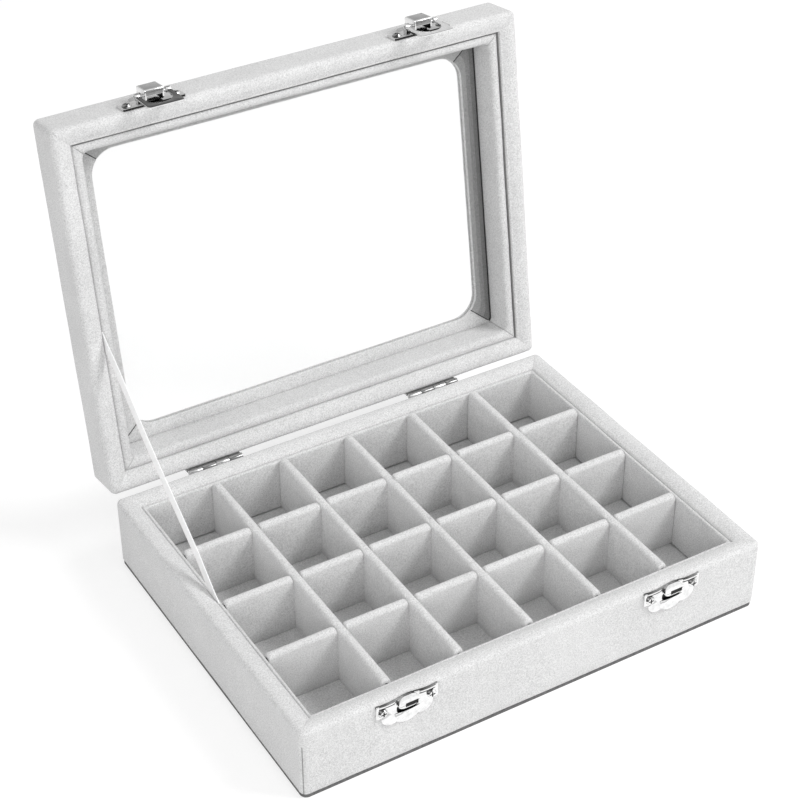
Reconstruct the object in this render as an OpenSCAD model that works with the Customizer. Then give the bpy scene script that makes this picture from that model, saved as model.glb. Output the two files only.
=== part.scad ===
// Velvet covered display tray with a hinged window lid, lengthwise and crosswise
// dividers, a stay ribbon and two draw latches. Millimetres, +Z up, front at -Y,
// origin at the centre of the underside. The lid is shown open, as it rests.

/* [Tray] */
// Outside width of the tray
tray_w = 200; // [170:1:240]
// Outside depth of the tray
tray_d = 152; // [130:1:180]
// Height of the lower half, board included
base_h = 31.2; // [30:0.1:45]
// Thickness of the padded walls
wall_t = 7.7; // [6.5:0.1:9]
// How far the padded rim falls towards the inside
rim_fall = 1.6; // [0.6:0.1:1.8]
// Rounding along the outer edge of a rim
rim_round = 1.8; // [1:0.1:2.4]
// Rounding of the upright corners
corner_r = 2.6; // [1.5:0.1:4]
// Thickness of the board under the tray
board_t = 1.4; // [0.8:0.1:2]
// Inset of the board from the outside faces
board_inset = 0.3; // [0.2:0.1:2]
// Thickness of the covered floor card
floor_t = 4.6; // [1.5:0.1:5]

/* [Linings] */
// Thickness of the covered strips inside the tray walls
lining_t = 1.6; // [1.4:0.1:3]
// Height from the top of a tray lining up to the rim
lining_drop = 2.1; // [1.7:0.1:3]
// Thickness of the padded strips inside the lid walls
lid_lining_t = 4.1; // [3:0.1:6]
// Recess of the lid strips behind the meeting face
lid_lining_drop = 2.1; // [1.7:0.1:3]

/* [Lid] */
// Height of the lid
lid_h = 18.6; // [17:0.1:30]
// Opening angle at which the ribbon stops the lid
lid_open = 98.7; // [91:0.1:105]
// Gap between the closed rims
seam_gap = 0.4; // [0.3:0.05:0.8]
// Thickness of the outer frame over the glass
top_t = 1.2; // [0.9:0.1:2.5]
// Thickness of the glass
glass_t = 1.2; // [0.8:0.1:3]
// Thickness of the covered card that holds the glass
panel_t = 0.9; // [0.6:0.1:2]
// Margin from the outside to the window at the left and right
window_side = 18.7; // [16:0.1:30]
// Margin from the outside to the window at the front and back
window_end = 17.6; // [14:0.1:26]
// Rounding of the window corners
window_r = 10; // [4:0.5:14]
// Width of the sewn seams at the window corners
seam_w = 0.4; // [0.2:0.05:0.8]
// Depth of the sewn seams
seam_deep = 0.25; // [0.1:0.05:0.4]

/* [Dividers] */
// Compartments in a lengthwise row
cells_long = 6; // [4:1:7]
// Compartments from front to back
cells_cross = 4; // [3:1:5]
// Thickness of a covered divider
divider_t = 3.8; // [3:0.1:5]
// Height of the dividers
divider_h = 24.5; // [18:0.5:25]
// Clearance of the dividers from the linings at each end
divider_clear = 0.35; // [0.3:0.05:1]
// Rounding of the upper corners at the divider ends
divider_end_r = 2; // [1:0.1:3]

/* [Ribbon] */
// Width of the stay ribbon
ribbon_w = 6; // [4:0.5:9]
// Thickness of the ribbon
ribbon_t = 0.4; // [0.3:0.05:0.6]
// Length of ribbon tucked behind a lining at each end
ribbon_tuck = 6; // [4:0.5:9]
// Ribbon anchor in the tray, measured back from the front face
ribbon_base_y = 83; // [60:0.5:100]
// Ribbon anchor in the lid, measured from the hinged face
ribbon_lid_d = 63; // [50:0.5:80]

/* [Hinges] */
// Length of a hinge
hinge_len = 24; // [18:0.5:30]
// Distance of the left hinge's centre from the left side
hinge_left_in = 44.6; // [34:0.1:60]
// Distance of the right hinge's centre from the right side
hinge_right_in = 52.7; // [34:0.1:60]
// Distance of the hinge axis behind the back face
hinge_out = 0.6; // [0.5:0.05:0.9]
// Distance of the hinge axis below the rim of the tray
hinge_drop = 1.1; // [1:0.05:1.6]
// Radius of a hinge knuckle
knuckle_r = 1.35; // [1.25:0.05:1.6]
// Radius of the hinge pin
hinge_pin_r = 0.7; // [0.5:0.05:0.8]
// Thickness of the hinge leaves
leaf_t = 0.7; // [0.5:0.05:0.8]
// Height of a hinge leaf
leaf_h = 10; // [8:0.5:13]
// Clearance between neighbouring knuckles
knuckle_gap = 0.3; // [0.3:0.05:0.6]
// Running clearance around the turning pins
run_gap = 0.05; // [0.02:0.01:0.1]

/* [Fittings] */
// Distance of the left latch's centre from the left side
latch_left_in = 42; // [34:0.1:60]
// Distance of the right latch's centre from the right side
latch_right_in = 42.9; // [34:0.1:60]
// Thickness of the stamped plates
plate_t = 0.7; // [0.5:0.05:1]
// Width of the stamped plates
plate_w = 25.4; // [24:0.2:30]
// Distance of the plate screws from the middle of a plate
plate_screw_x = 9.9; // [9.6:0.1:10.5]
// Stand-off of the catch hood from the front face
hood_out = 2.4; // [2.2:0.1:2.6]
// Height of the latch lever pin over the meeting face of the lid
lever_pin_h = 6.6; // [6.4:0.1:7]
// Stand-off of the lever pin from the front face
lever_pin_out = 2.4; // [2.3:0.1:2.6]
// Depth of the latch lever
lever_deep = 5; // [4.6:0.1:6]
// Width of the latch lever
lever_w = 7.6; // [7:0.1:8]
// Height of the latch lever
lever_tall = 8; // [7.4:0.1:8.2]
// Thickness of the lever sheet
sheet_t = 0.6; // [0.4:0.05:0.8]
// Width of the latch loop
loop_w = 14.5; // [14.2:0.1:15]
// Width of the hole in the loop
loop_hole_w = 10.7; // [10.7:0.1:11]
// Thickness of the loop
loop_t = 0.6; // [0.5:0.05:0.7]
// Width of the band at the end of the loop
loop_band = 2.4; // [2:0.1:3]
// Radius of the latch pins
latch_pin_r = 0.6; // [0.5:0.05:0.7]

/* [Hidden] */
$fn = 64;
big_fn = 96;
fine_fn = 48;
over = 0.5;

// Tray levels and inside sizes
floor_z = board_t + floor_t;
in_w = tray_w - 2 * wall_t;
in_d = tray_d - 2 * wall_t;
lining_top = base_h - lining_drop;
lining_round = lining_t / 2 - 0.1;
cavity_w = in_w - 2 * lining_t;
cavity_d = in_d - 2 * lining_t;

// Lid levels, closed
lid_z = base_h + seam_gap;
axis_y = tray_d / 2 + hinge_out;
axis_z = base_h - hinge_drop;
panel_z = lid_h - top_t - glass_t - panel_t;
window_w = tray_w - 2 * window_side;
window_d = tray_d - 2 * window_end;
glass_clear = 0.8;
lid_lining_round = lid_lining_t / 2 - 0.4;
seam_run = sqrt(2) * (window_side - wall_t - lid_lining_t) + window_r;

// Divider grid
divider_long_l = cavity_w - 2 * divider_clear;
divider_cross_l = cavity_d - 2 * divider_clear;
cell_w = cavity_w / cells_long;
cell_d = cavity_d / cells_cross;
divider_round = divider_t / 2 - 0.1;
lap_z = divider_h / 2;

// Ribbon line, from the tray anchor to the lid anchor
ribbon_x = -tray_w / 2 + wall_t;
ribbon_y0 = ribbon_base_y - tray_d / 2;
ribbon_z0 = base_h;
lid_dy = tray_d / 2 - ribbon_lid_d - axis_y;
lid_dz = lid_z - axis_z;
ribbon_y1 = axis_y + lid_dy * cos(lid_open) + lid_dz * sin(lid_open);
ribbon_z1 = axis_z - lid_dy * sin(lid_open) + lid_dz * cos(lid_open);
ribbon_run = sqrt(pow(ribbon_y1 - ribbon_y0, 2) + pow(ribbon_z1 - ribbon_z0, 2));
ribbon_tilt = atan2(ribbon_z1 - ribbon_z0, ribbon_y1 - ribbon_y0);

// Hinge
knuckles = 4;
knuckle_pitch = hinge_len / knuckles;
knuckle_len = knuckle_pitch - knuckle_gap;
notch_z = knuckle_r + 0.35;
hinge_left_x = hinge_left_in - tray_w / 2;
hinge_right_x = tray_w / 2 - hinge_right_in;
groove_r = knuckle_r + 0.3;
leaf_screw_x = hinge_len / 2 - 4;
leaf_screw_z = leaf_h - 3.4;

// Screws
screw_r = 0.9;
screw_head_r = 1.9;
screw_head_h = 0.8;
screw_l = 5;
screw_clear = 0.1;
slot_w = 0.5;
slot_deep = 0.45;
hinge_head_r = 1.6;

// Fittings, from the middle of the tray
latch_left_x = latch_left_in - tray_w / 2;
latch_right_x = tray_w / 2 - latch_right_in;

// Catch, heights over the underside of the tray
catch_top_drop = 0.8;
catch_end_drop = 7.2;
catch_screw_drop = 5;
catch_lobe_drop = 7.6;
boss_drop = 6.9;
slot_drop = 9.4;
hood_top_drop = 0.6;
hood_low_drop = 6.8;
catch_high = base_h - catch_top_drop;
catch_low = base_h - catch_end_drop;
catch_screw_z = base_h - catch_screw_drop;
lobe_z = base_h - catch_lobe_drop;
boss_z = base_h - boss_drop;
slot_low = base_h - slot_drop;
hood_top = base_h - hood_top_drop;
hood_under = base_h - hood_low_drop;
end_r = 0.9;
lobe_r = 4.4;
lobe_x = 6.2;
dip_r = 20;
dip_x = 8.4;
dip = 0.7;
ridge_w = 0.7;
ridge_rise = 0.5;
ridge_x0 = 5;
ridge_x1 = plate_w / 2 - 1.3;
boss_r = 6.4;
boss_out = 0.6;
dome_r = boss_r - 0.4;
boss_ball = (dome_r * dome_r + boss_out * boss_out) / (2 * boss_out);
slot_half = 4.35;
slot_r = 1.2;
hood_w = 8.8;
hood_r = 3;
hood_wall = 0.7;
hood_slope = 2.2;
hood_edge = 0.5;
tongue_free = 2.6;

// Latch, heights over the meeting face of the closed lid
wing_h0 = 0.7;
wing_h1 = 7.4;
crown_h = 12;
crown_w = plate_w / 2 + 1;
crown_r = 3.2;
ear_gap = 0.3;
ear_t = 0.6;
ear_r = 1.3;
ear_x = lever_w / 2 + ear_gap;
lever_back = 1.2;
lever_h1 = lever_pin_h + lever_back;
lever_h0 = lever_h1 - lever_tall;
lever_q0 = lever_pin_out - lever_back;
lever_q1 = lever_q0 + lever_deep;
lip = 3.2;
loop_pin_drop = 4.6;
loop_pin_ahead = 1.4;
loop_pin_h = lever_pin_h - loop_pin_drop;
loop_pin_out = lever_pin_out + loop_pin_ahead;
loop_slack = 1.2;
hook_lift = 1.3;
hook_h = hood_under - lid_z - loop_slack;
hook_out = plate_t + hook_lift;
loop_in = sqrt(pow(loop_pin_h - hook_h, 2) + pow(loop_pin_out - hook_out, 2));
loop_reach = loop_in + loop_band;
rest_gap = 0.3;
rest_out = hood_out + rest_gap + loop_t / 2;
loop_rest = asin((loop_pin_out - rest_out) / loop_reach);
hole_r = loop_hole_w / 2 - 0.01;
loop_end_r = 1.2;
eye_r = 1.1;
eye_len = (loop_w - loop_hole_w) / 2;

// Rectangle with rounded corners
module round_rect(w, d, r) {
    union() {
        square([w - 2 * r, d], center = true);
        square([w, d - 2 * r], center = true);
        for (sx = [-1, 1], sy = [-1, 1]) {
            translate([sx * (w / 2 - r), sy * (d / 2 - r)])
                circle(r, $fn = fine_fn);
        }
    }
}

// Section of a wall: outer face at 0, rim at the top with a rounded outer edge
module wall_section(h) {
    difference() {
        polygon([
            [0, 0],
            [0, h],
            [wall_t * 0.45, h],
            [wall_t, h - rim_fall],
            [wall_t, 0]
        ]);
        difference() {
            translate([-over, h - rim_round])
                square([over + rim_round, rim_round + over]);
            translate([rim_round, h - rim_round])
                circle(rim_round, $fn = fine_fn);
        }
    }
}

// One wall with mitred ends along the front, run long and standing across / 2 out
module mitred_wall(run, across, h) {
    intersection() {
        translate([-run / 2, -across / 2, 0])
            rotate([90, 0, 90])
                linear_extrude(run)
                    wall_section(h);
        linear_extrude(h)
            polygon([
                [-run / 2, -across / 2],
                [run / 2, -across / 2],
                [run / 2 - wall_t, -across / 2 + wall_t],
                [-run / 2 + wall_t, -across / 2 + wall_t]
            ]);
    }
}

// Four mitred walls with rounded upright corners
module wall_ring(h) {
    intersection() {
        union() {
            mitred_wall(tray_w, tray_d, h);
            rotate([0, 0, 180])
                mitred_wall(tray_w, tray_d, h);
            rotate([0, 0, 90])
                mitred_wall(tray_d, tray_w, h);
            rotate([0, 0, -90])
                mitred_wall(tray_d, tray_w, h);
        }
        linear_extrude(h)
            round_rect(tray_w, tray_d, corner_r);
    }
}

// Places closed lid parts in their open rest position
module opened() {
    translate([0, axis_y, axis_z])
        rotate([-lid_open, 0, 0])
            translate([0, -axis_y, -axis_z])
                children();
}

// Local frame on the front face: X along, Y up, Z outwards
module on_front(x, z) {
    translate([x, -tray_d / 2, z])
        rotate([90, 0, 0])
            children();
}

// Extrudes a profile drawn in height and stand-off along the front
module along_front(x0, w) {
    translate([x0, 0, 0])
        rotate([90, 0, 90])
            linear_extrude(w)
                children();
}

// Pan head screw, head upwards, entering along -Z from 0
module screw(head_r) {
    difference() {
        union() {
            translate([0, 0, -screw_l])
                cylinder(h = screw_l, r = screw_r, $fn = fine_fn);
            cylinder(h = screw_head_h, r1 = head_r, r2 = head_r * 0.75, $fn = fine_fn);
        }
        for (a = [0, 90]) {
            rotate([0, 0, a])
                translate([-head_r * 0.6, -slot_w / 2, screw_head_h - slot_deep])
                    cube([head_r * 1.2, slot_w, slot_deep + over]);
        }
    }
}

// Straight hole for the shank of a screw, entering along -Z from 0
module pilot() {
    translate([0, 0, -screw_l])
        cylinder(h = screw_l + over, r = screw_r, $fn = fine_fn);
}

// Places something at each catch screw
module at_catch_screws() {
    for (x = [latch_left_x, latch_right_x], s = [-1, 1]) {
        on_front(x + s * plate_screw_x, catch_screw_z)
            children();
    }
}

// Places something at each latch screw, lid closed
module at_latch_screws() {
    for (x = [latch_left_x, latch_right_x], s = [-1, 1]) {
        on_front(x + s * plate_screw_x, lid_z + (wing_h0 + wing_h1) / 2)
            children();
    }
}

// Places something at each hinge screw on the back face, below or above the pin
module at_hinge_screws(side) {
    for (x = [hinge_left_x, hinge_right_x], s = [-1, 1]) {
        translate([x + s * leaf_screw_x, tray_d / 2, axis_z + side * leaf_screw_z])
            rotate([-90, 0, 0])
                children();
    }
}

// Mitred and rounded frame of the lower half
module base_frame() {
    color([0.80, 0.80, 0.81])
    difference() {
        translate([0, 0, board_t])
            wall_ring(base_h - board_t);
        at_catch_screws()
            pilot();
        at_hinge_screws(-1)
            pilot();
        for (x = [hinge_left_x, hinge_right_x]) {
            hinge_groove(x);
        }
    }
}

// Round bottomed groove in the rim that clears the turning knuckles
module hinge_groove(x) {
    translate([x - hinge_len / 2 - knuckle_gap, axis_y, axis_z])
        rotate([90, 0, 90])
            linear_extrude(hinge_len + 2 * knuckle_gap)
                union() {
                    circle(groove_r, $fn = fine_fn);
                    translate([-groove_r, 0])
                        square([2 * groove_r, hinge_drop + over]);
                }
}

// Dark board that closes the underside
module base_bottom_board() {
    color([0.25, 0.25, 0.27])
    linear_extrude(board_t)
        round_rect(tray_w - 2 * board_inset, tray_d - 2 * board_inset, corner_r);
}

// Covered card on the floor
module floor_pad() {
    color([0.78, 0.78, 0.79])
    translate([-in_w / 2, -in_d / 2, board_t])
        cube([in_w, in_d, floor_t]);
}

// Covered strip standing on the floor, with a rounded top
module base_lining(l) {
    h = lining_top - floor_z;
    rotate([90, 0, 90])
        translate([0, 0, -l / 2])
            linear_extrude(l)
                difference() {
                    square([lining_t, h]);
                    translate([lining_t - lining_round, h - lining_round])
                        difference() {
                            square([lining_round + over, lining_round + over]);
                            circle(lining_round, $fn = fine_fn);
                        }
                }
}

module base_lining_front() {
    color([0.78, 0.78, 0.79])
    translate([0, -in_d / 2, floor_z])
        base_lining(in_w);
}

module base_lining_back() {
    color([0.78, 0.78, 0.79])
    rotate([0, 0, 180])
        translate([0, -in_d / 2, floor_z])
            base_lining(in_w);
}

module base_lining_left() {
    color([0.78, 0.78, 0.79])
    difference() {
        rotate([0, 0, -90])
            translate([0, -in_w / 2, floor_z])
                base_lining(cavity_d);
        ribbon_strip();
    }
}

module base_lining_right() {
    color([0.78, 0.78, 0.79])
    rotate([0, 0, 90])
        translate([0, -in_w / 2, floor_z])
            base_lining(cavity_d);
}

// Lid walls and outer window frame, closed position
module lid_frame_closed() {
    difference() {
        union() {
            translate([0, 0, lid_z + lid_h])
                rotate([180, 0, 0])
                    wall_ring(lid_h);
            translate([-in_w / 2, -in_d / 2, lid_z + lid_h - top_t])
                cube([in_w, in_d, top_t]);
        }
        translate([0, 0, lid_z + lid_h - top_t - over])
            linear_extrude(top_t + 2 * over)
                round_rect(window_w, window_d, window_r);
        difference() {
            translate([-tray_w / 2 - over, -tray_d / 2 - over, lid_z + lid_h - rim_round])
                cube([tray_w + 2 * over, tray_d + 2 * over, rim_round + over]);
            top_edge_keep();
        }
        at_latch_screws()
            pilot();
        at_hinge_screws(1)
            pilot();
    }
}

// Everything inside the rounded upper edge of the lid
module top_edge_keep() {
    z0 = lid_z + lid_h - rim_round;
    intersection() {
        translate([-tray_w / 2, 0, z0])
            rotate([90, 0, 90])
                linear_extrude(tray_w)
                    edge_section(tray_d);
        translate([0, -tray_d / 2, z0])
            rotate([90, 0, 180])
                linear_extrude(tray_d)
                    edge_section(tray_w);
    }
}

// Long low section with two rounded upper corners
module edge_section(w) {
    union() {
        translate([-w / 2 + rim_round, -over])
            square([w - 2 * rim_round, rim_round + over]);
        for (s = [-1, 1]) {
            translate([s * (w / 2 - rim_round), 0])
                circle(rim_round, $fn = fine_fn);
        }
        translate([-w / 2, -over])
            square([w, over]);
    }
}

module lid_frame() {
    color([0.80, 0.80, 0.81])
    opened()
        lid_frame_closed();
}

// Covered card around the window, with a sewn seam at each corner
module lid_window_panel() {
    color([0.76, 0.76, 0.77])
    opened()
        translate([0, 0, lid_z + panel_z])
            difference() {
                translate([-in_w / 2, -in_d / 2, 0])
                    cube([in_w, in_d, panel_t]);
                translate([0, 0, -over])
                    linear_extrude(panel_t + 2 * over)
                        round_rect(window_w, window_d, window_r);
                for (sx = [-1, 1], sy = [-1, 1]) {
                    translate([sx * in_w / 2, sy * in_d / 2, 0])
                        rotate([0, 0, atan2(-sy, -sx)])
                            translate([0, -seam_w / 2, -over])
                                cube([seam_run + wall_t, seam_w, over + seam_deep]);
                }
            }
}

module lid_glass() {
    color([0.85, 0.92, 0.92, 0.3])
    opened()
        translate([-in_w / 2 + glass_clear, -in_d / 2 + glass_clear, lid_z + panel_z + panel_t])
            cube([in_w - 2 * glass_clear, in_d - 2 * glass_clear, glass_t]);
}

// Padded strip inside a lid wall, standing from its recess up to the window card
module lid_lining(l) {
    h = panel_z - lid_lining_drop;
    rotate([90, 0, 90])
        translate([0, 0, -l / 2])
            linear_extrude(l)
                difference() {
                    square([lid_lining_t, h]);
                    translate([lid_lining_t - lid_lining_round, lid_lining_round])
                        difference() {
                            translate([0, -lid_lining_round - over])
                                square([lid_lining_round + over, lid_lining_round + over]);
                            circle(lid_lining_round, $fn = fine_fn);
                        }
                }
}

module lid_lining_front() {
    color([0.76, 0.76, 0.77])
    opened()
        translate([0, -in_d / 2, lid_z + lid_lining_drop])
            lid_lining(in_w);
}

module lid_lining_back() {
    color([0.76, 0.76, 0.77])
    opened()
        rotate([0, 0, 180])
            translate([0, -in_d / 2, lid_z + lid_lining_drop])
                lid_lining(in_w);
}

module lid_lining_left() {
    color([0.76, 0.76, 0.77])
    difference() {
        opened()
            rotate([0, 0, -90])
                translate([0, -in_w / 2, lid_z + lid_lining_drop])
                    lid_lining(in_d - 2 * lid_lining_t);
        ribbon_strip();
    }
}

module lid_lining_right() {
    color([0.76, 0.76, 0.77])
    opened()
        rotate([0, 0, 90])
            translate([0, -in_w / 2, lid_z + lid_lining_drop])
                lid_lining(in_d - 2 * lid_lining_t);
}

// Taut ribbon between the two left linings, its ends tucked against the walls
module ribbon_strip() {
    translate([ribbon_x, ribbon_y0, ribbon_z0])
        rotate([ribbon_tilt, 0, 0])
            translate([0, -ribbon_tuck, -ribbon_w / 2])
                cube([ribbon_t, ribbon_run + 2 * ribbon_tuck, ribbon_w]);
}

module lid_stay_ribbon() {
    color([0.96, 0.96, 0.97])
    ribbon_strip();
}

// One hinge leaf with every second knuckle; side -1 is the tray leaf below the pin
module hinge_leaf(x, side, first) {
    translate([x - hinge_len / 2, axis_y, axis_z])
        difference() {
            union() {
                translate([0, -hinge_out, side > 0 ? notch_z : -leaf_h])
                    cube([hinge_len, leaf_t, leaf_h - notch_z]);
                for (k = [first:2:knuckles - 1]) {
                    translate([k * knuckle_pitch + knuckle_gap / 2, 0, 0]) {
                        rotate([0, 90, 0])
                            cylinder(h = knuckle_len, r = knuckle_r, $fn = fine_fn);
                        translate([0, -hinge_out, side > 0 ? 0 : -notch_z - over])
                            cube([knuckle_len, leaf_t, notch_z + over]);
                    }
                }
            }
            translate([-over, 0, 0])
                rotate([0, 90, 0])
                    cylinder(
                        h = hinge_len + 2 * over,
                        r = hinge_pin_r + (side > 0 ? run_gap : 0),
                        $fn = fine_fn
                    );
            for (s = [-1, 1]) {
                translate([hinge_len / 2 + s * leaf_screw_x, -hinge_out - over, side * leaf_screw_z])
                    rotate([-90, 0, 0])
                        cylinder(h = leaf_t + 2 * over, r = screw_r + screw_clear, $fn = fine_fn);
            }
        }
}

module hinge_base_leaf_left() {
    color([0.75, 0.75, 0.76])
    hinge_leaf(hinge_left_x, -1, 0);
}

module hinge_base_leaf_right() {
    color([0.75, 0.75, 0.76])
    hinge_leaf(hinge_right_x, -1, 0);
}

module hinge_lid_leaf_left() {
    color([0.75, 0.75, 0.76])
    opened()
        hinge_leaf(hinge_left_x, 1, 1);
}

module hinge_lid_leaf_right() {
    color([0.75, 0.75, 0.76])
    opened()
        hinge_leaf(hinge_right_x, 1, 1);
}

// Hinge pin held by the tray knuckles
module hinge_pin(x) {
    color([0.70, 0.70, 0.72])
    translate([x - hinge_len / 2, axis_y, axis_z])
        rotate([0, 90, 0])
            cylinder(h = hinge_len, r = hinge_pin_r, $fn = fine_fn);
}

module hinge_pin_left() {
    hinge_pin(hinge_left_x);
}

module hinge_pin_right() {
    hinge_pin(hinge_right_x);
}

module base_hinge_screws() {
    color([0.72, 0.72, 0.74])
    at_hinge_screws(-1)
        leaf_screw();
}

module lid_hinge_screws() {
    color([0.72, 0.72, 0.74])
    opened()
        at_hinge_screws(1)
            leaf_screw();
}

// Screw seated on a hinge leaf
module leaf_screw() {
    translate([0, 0, leaf_t])
        screw(hinge_head_r);
}

// Lobed outline of a catch plate
module catch_outline() {
    difference() {
        union() {
            translate([0, (catch_low + catch_high) / 2])
                round_rect(plate_w, catch_high - catch_low, end_r);
            for (s = [-1, 1]) {
                translate([s * lobe_x, lobe_z])
                    circle(lobe_r, $fn = fine_fn);
            }
            translate([0, boss_z])
                circle(boss_r, $fn = fine_fn);
        }
        for (s = [-1, 1]) {
            translate([s * dip_x, catch_high + dip_r - dip])
                circle(dip_r, $fn = big_fn);
            translate([s * plate_screw_x, catch_screw_z])
                circle(screw_r + screw_clear, $fn = fine_fn);
        }
        translate([0, (slot_low + hood_under + tongue_free) / 2])
            round_rect(2 * slot_half, hood_under + tongue_free - slot_low, slot_r);
    }
}

// Outlines of the raised upper edges of the two wings
module catch_ridges() {
    for (s = [-1, 1]) {
        intersection() {
            translate([s * dip_x, catch_high + dip_r - dip])
                difference() {
                    circle(dip_r + ridge_w, $fn = big_fn);
                    circle(dip_r, $fn = big_fn);
                }
            translate([s * (ridge_x0 + ridge_x1) / 2, catch_high - ridge_w])
                square([ridge_x1 - ridge_x0, 3 * ridge_w], center = true);
        }
    }
}

// Low spherical boss that fills the middle of the plate below its slot
module catch_boss() {
    intersection() {
        translate([0, boss_z, boss_out - boss_ball])
            sphere(boss_ball, $fn = big_fn);
        translate([-boss_r, boss_z - boss_r, 0])
            cube([2 * boss_r, slot_low - boss_z + boss_r, boss_out + over]);
    }
}

// Hood over the slot, its lower end a free tongue that holds the loop
module catch_hood() {
    difference() {
        intersection() {
            along_front(-hood_w / 2, hood_w)
                polygon([
                    [hood_under, 0],
                    [hood_under, hood_out],
                    [hood_top - hood_slope, hood_out],
                    [hood_top, plate_t + hood_edge],
                    [hood_top, 0]
                ]);
            translate([0, (hood_under + hood_top) / 2, 0])
                linear_extrude(hood_out + over)
                    round_rect(hood_w, hood_top - hood_under, hood_r);
        }
        translate([-hood_w, hood_under - over, -over])
            cube([2 * hood_w, tongue_free + over, hood_out - hood_wall + over]);
    }
}

// Stamped catch with ridged wings, a hood over its slot and a low boss
module catch_plate(x) {
    color([0.78, 0.78, 0.80])
    on_front(x, 0)
        union() {
            linear_extrude(plate_t)
                catch_outline();
            linear_extrude(plate_t + ridge_rise)
                catch_ridges();
            translate([0, 0, plate_t])
                catch_boss();
            catch_hood();
        }
}

module catch_plate_left() {
    catch_plate(latch_left_x);
}

module catch_plate_right() {
    catch_plate(latch_right_x);
}

module catch_screws() {
    color([0.72, 0.72, 0.74])
    at_catch_screws()
        plate_screw();
}

// Screw seated on a stamped plate
module plate_screw() {
    translate([0, 0, plate_t])
        screw(screw_head_r);
}

// Stamped latch plate with two ears for the lever pin, lid closed
module latch_plate_closed(x) {
    mid = (wing_h0 + wing_h1) / 2;
    on_front(x, lid_z)
        difference() {
            union() {
                linear_extrude(plate_t)
                    difference() {
                        union() {
                            translate([0, mid])
                                round_rect(plate_w, wing_h1 - wing_h0, end_r);
                            translate([0, (wing_h0 + crown_h) / 2])
                                round_rect(crown_w, crown_h - wing_h0, crown_r);
                        }
                        for (s = [-1, 1]) {
                            translate([s * plate_screw_x, mid])
                                circle(screw_r + screw_clear, $fn = fine_fn);
                        }
                    }
                for (x0 = [ear_x, -ear_x - ear_t]) {
                    along_front(x0, ear_t)
                        union() {
                            translate([lever_pin_h - ear_r, 0])
                                square([2 * ear_r, lever_pin_out]);
                            translate([lever_pin_h, lever_pin_out])
                                circle(ear_r, $fn = fine_fn);
                        }
                }
            }
            along_front(-ear_x - ear_t - over, 2 * (ear_x + ear_t + over))
                translate([lever_pin_h, lever_pin_out])
                    circle(latch_pin_r, $fn = fine_fn);
        }
}

module latch_plate_left() {
    color([0.78, 0.78, 0.80])
    opened()
        latch_plate_closed(latch_left_x);
}

module latch_plate_right() {
    color([0.78, 0.78, 0.80])
    opened()
        latch_plate_closed(latch_right_x);
}

module latch_screws() {
    color([0.72, 0.72, 0.74])
    opened()
        at_latch_screws()
            plate_screw();
}

// Pin between the plate ears
module lever_pin(x) {
    color([0.70, 0.70, 0.72])
    opened()
        on_front(x, lid_z)
            along_front(-ear_x - ear_t, 2 * (ear_x + ear_t))
                translate([lever_pin_h, lever_pin_out])
                    circle(latch_pin_r, $fn = fine_fn);
}

module lever_pin_left() {
    lever_pin(latch_left_x);
}

module lever_pin_right() {
    lever_pin(latch_right_x);
}

// Folded sheet lever, open at the back and below, with a lip down its front
module latch_lever(x) {
    color([0.80, 0.80, 0.82])
    opened()
        on_front(x, lid_z)
            difference() {
                along_front(-lever_w / 2, lever_w)
                    translate([(lever_h0 + lever_h1) / 2, (lever_q0 + lever_q1) / 2])
                        round_rect(lever_tall, lever_deep, lever_back);
                along_front(-lever_w / 2 + sheet_t, lever_w - 2 * sheet_t)
                    union() {
                        translate([lever_h0 - over, lever_q0 - over])
                            square([
                                lever_tall - sheet_t + over,
                                lever_deep - sheet_t + over
                            ]);
                        translate([lever_h0 - over, lever_q0 - over])
                            square([lever_tall - lip + over, lever_deep + 2 * over]);
                    }
                along_front(-lever_w / 2 - over, lever_w + 2 * over) {
                    translate([lever_pin_h, lever_pin_out])
                        circle(latch_pin_r + run_gap, $fn = fine_fn);
                    translate([loop_pin_h, loop_pin_out])
                        circle(latch_pin_r, $fn = fine_fn);
                }
            }
}

module latch_lever_left() {
    latch_lever(latch_left_x);
}

module latch_lever_right() {
    latch_lever(latch_right_x);
}

// Pin through the lever that carries the loop
module loop_pin(x) {
    color([0.70, 0.70, 0.72])
    opened()
        on_front(x, lid_z)
            along_front(-loop_w / 2, loop_w)
                translate([loop_pin_h, loop_pin_out])
                    circle(latch_pin_r, $fn = fine_fn);
}

module loop_pin_left() {
    loop_pin(latch_left_x);
}

module loop_pin_right() {
    loop_pin(latch_right_x);
}

// Flat loop with two eyes, hanging from the loop pin towards the catch
module latch_loop(x) {
    color([0.72, 0.73, 0.75])
    opened()
        on_front(x, lid_z)
            translate([0, loop_pin_h, loop_pin_out])
                rotate([loop_rest, 0, 0])
                    difference() {
                        union() {
                            translate([0, 0, -loop_t / 2])
                                linear_extrude(loop_t)
                                    difference() {
                                        loop_outline(loop_w, loop_reach, loop_end_r);
                                        loop_outline(loop_hole_w, loop_in, hole_r);
                                    }
                            for (s = [-1, 1]) {
                                translate([s * (loop_w + loop_hole_w) / 4 - eye_len / 2, 0, 0])
                                    rotate([0, 90, 0])
                                        cylinder(h = eye_len, r = eye_r, $fn = fine_fn);
                            }
                        }
                        translate([-loop_w / 2 - over, 0, 0])
                            rotate([0, 90, 0])
                                cylinder(
                                    h = loop_w + 2 * over,
                                    r = latch_pin_r + run_gap,
                                    $fn = fine_fn
                                );
                    }
}

// Strip below 0 that ends in two rounded corners
module loop_outline(w, l, r) {
    union() {
        translate([-w / 2, -l + r])
            square([w, l - r]);
        translate([-w / 2 + r, -l])
            square([w - 2 * r, l]);
        for (s = [-1, 1]) {
            translate([s * (w / 2 - r), -l + r])
                circle(r, $fn = fine_fn);
        }
    }
}

module latch_loop_left() {
    latch_loop(latch_left_x);
}

module latch_loop_right() {
    latch_loop(latch_right_x);
}

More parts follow.
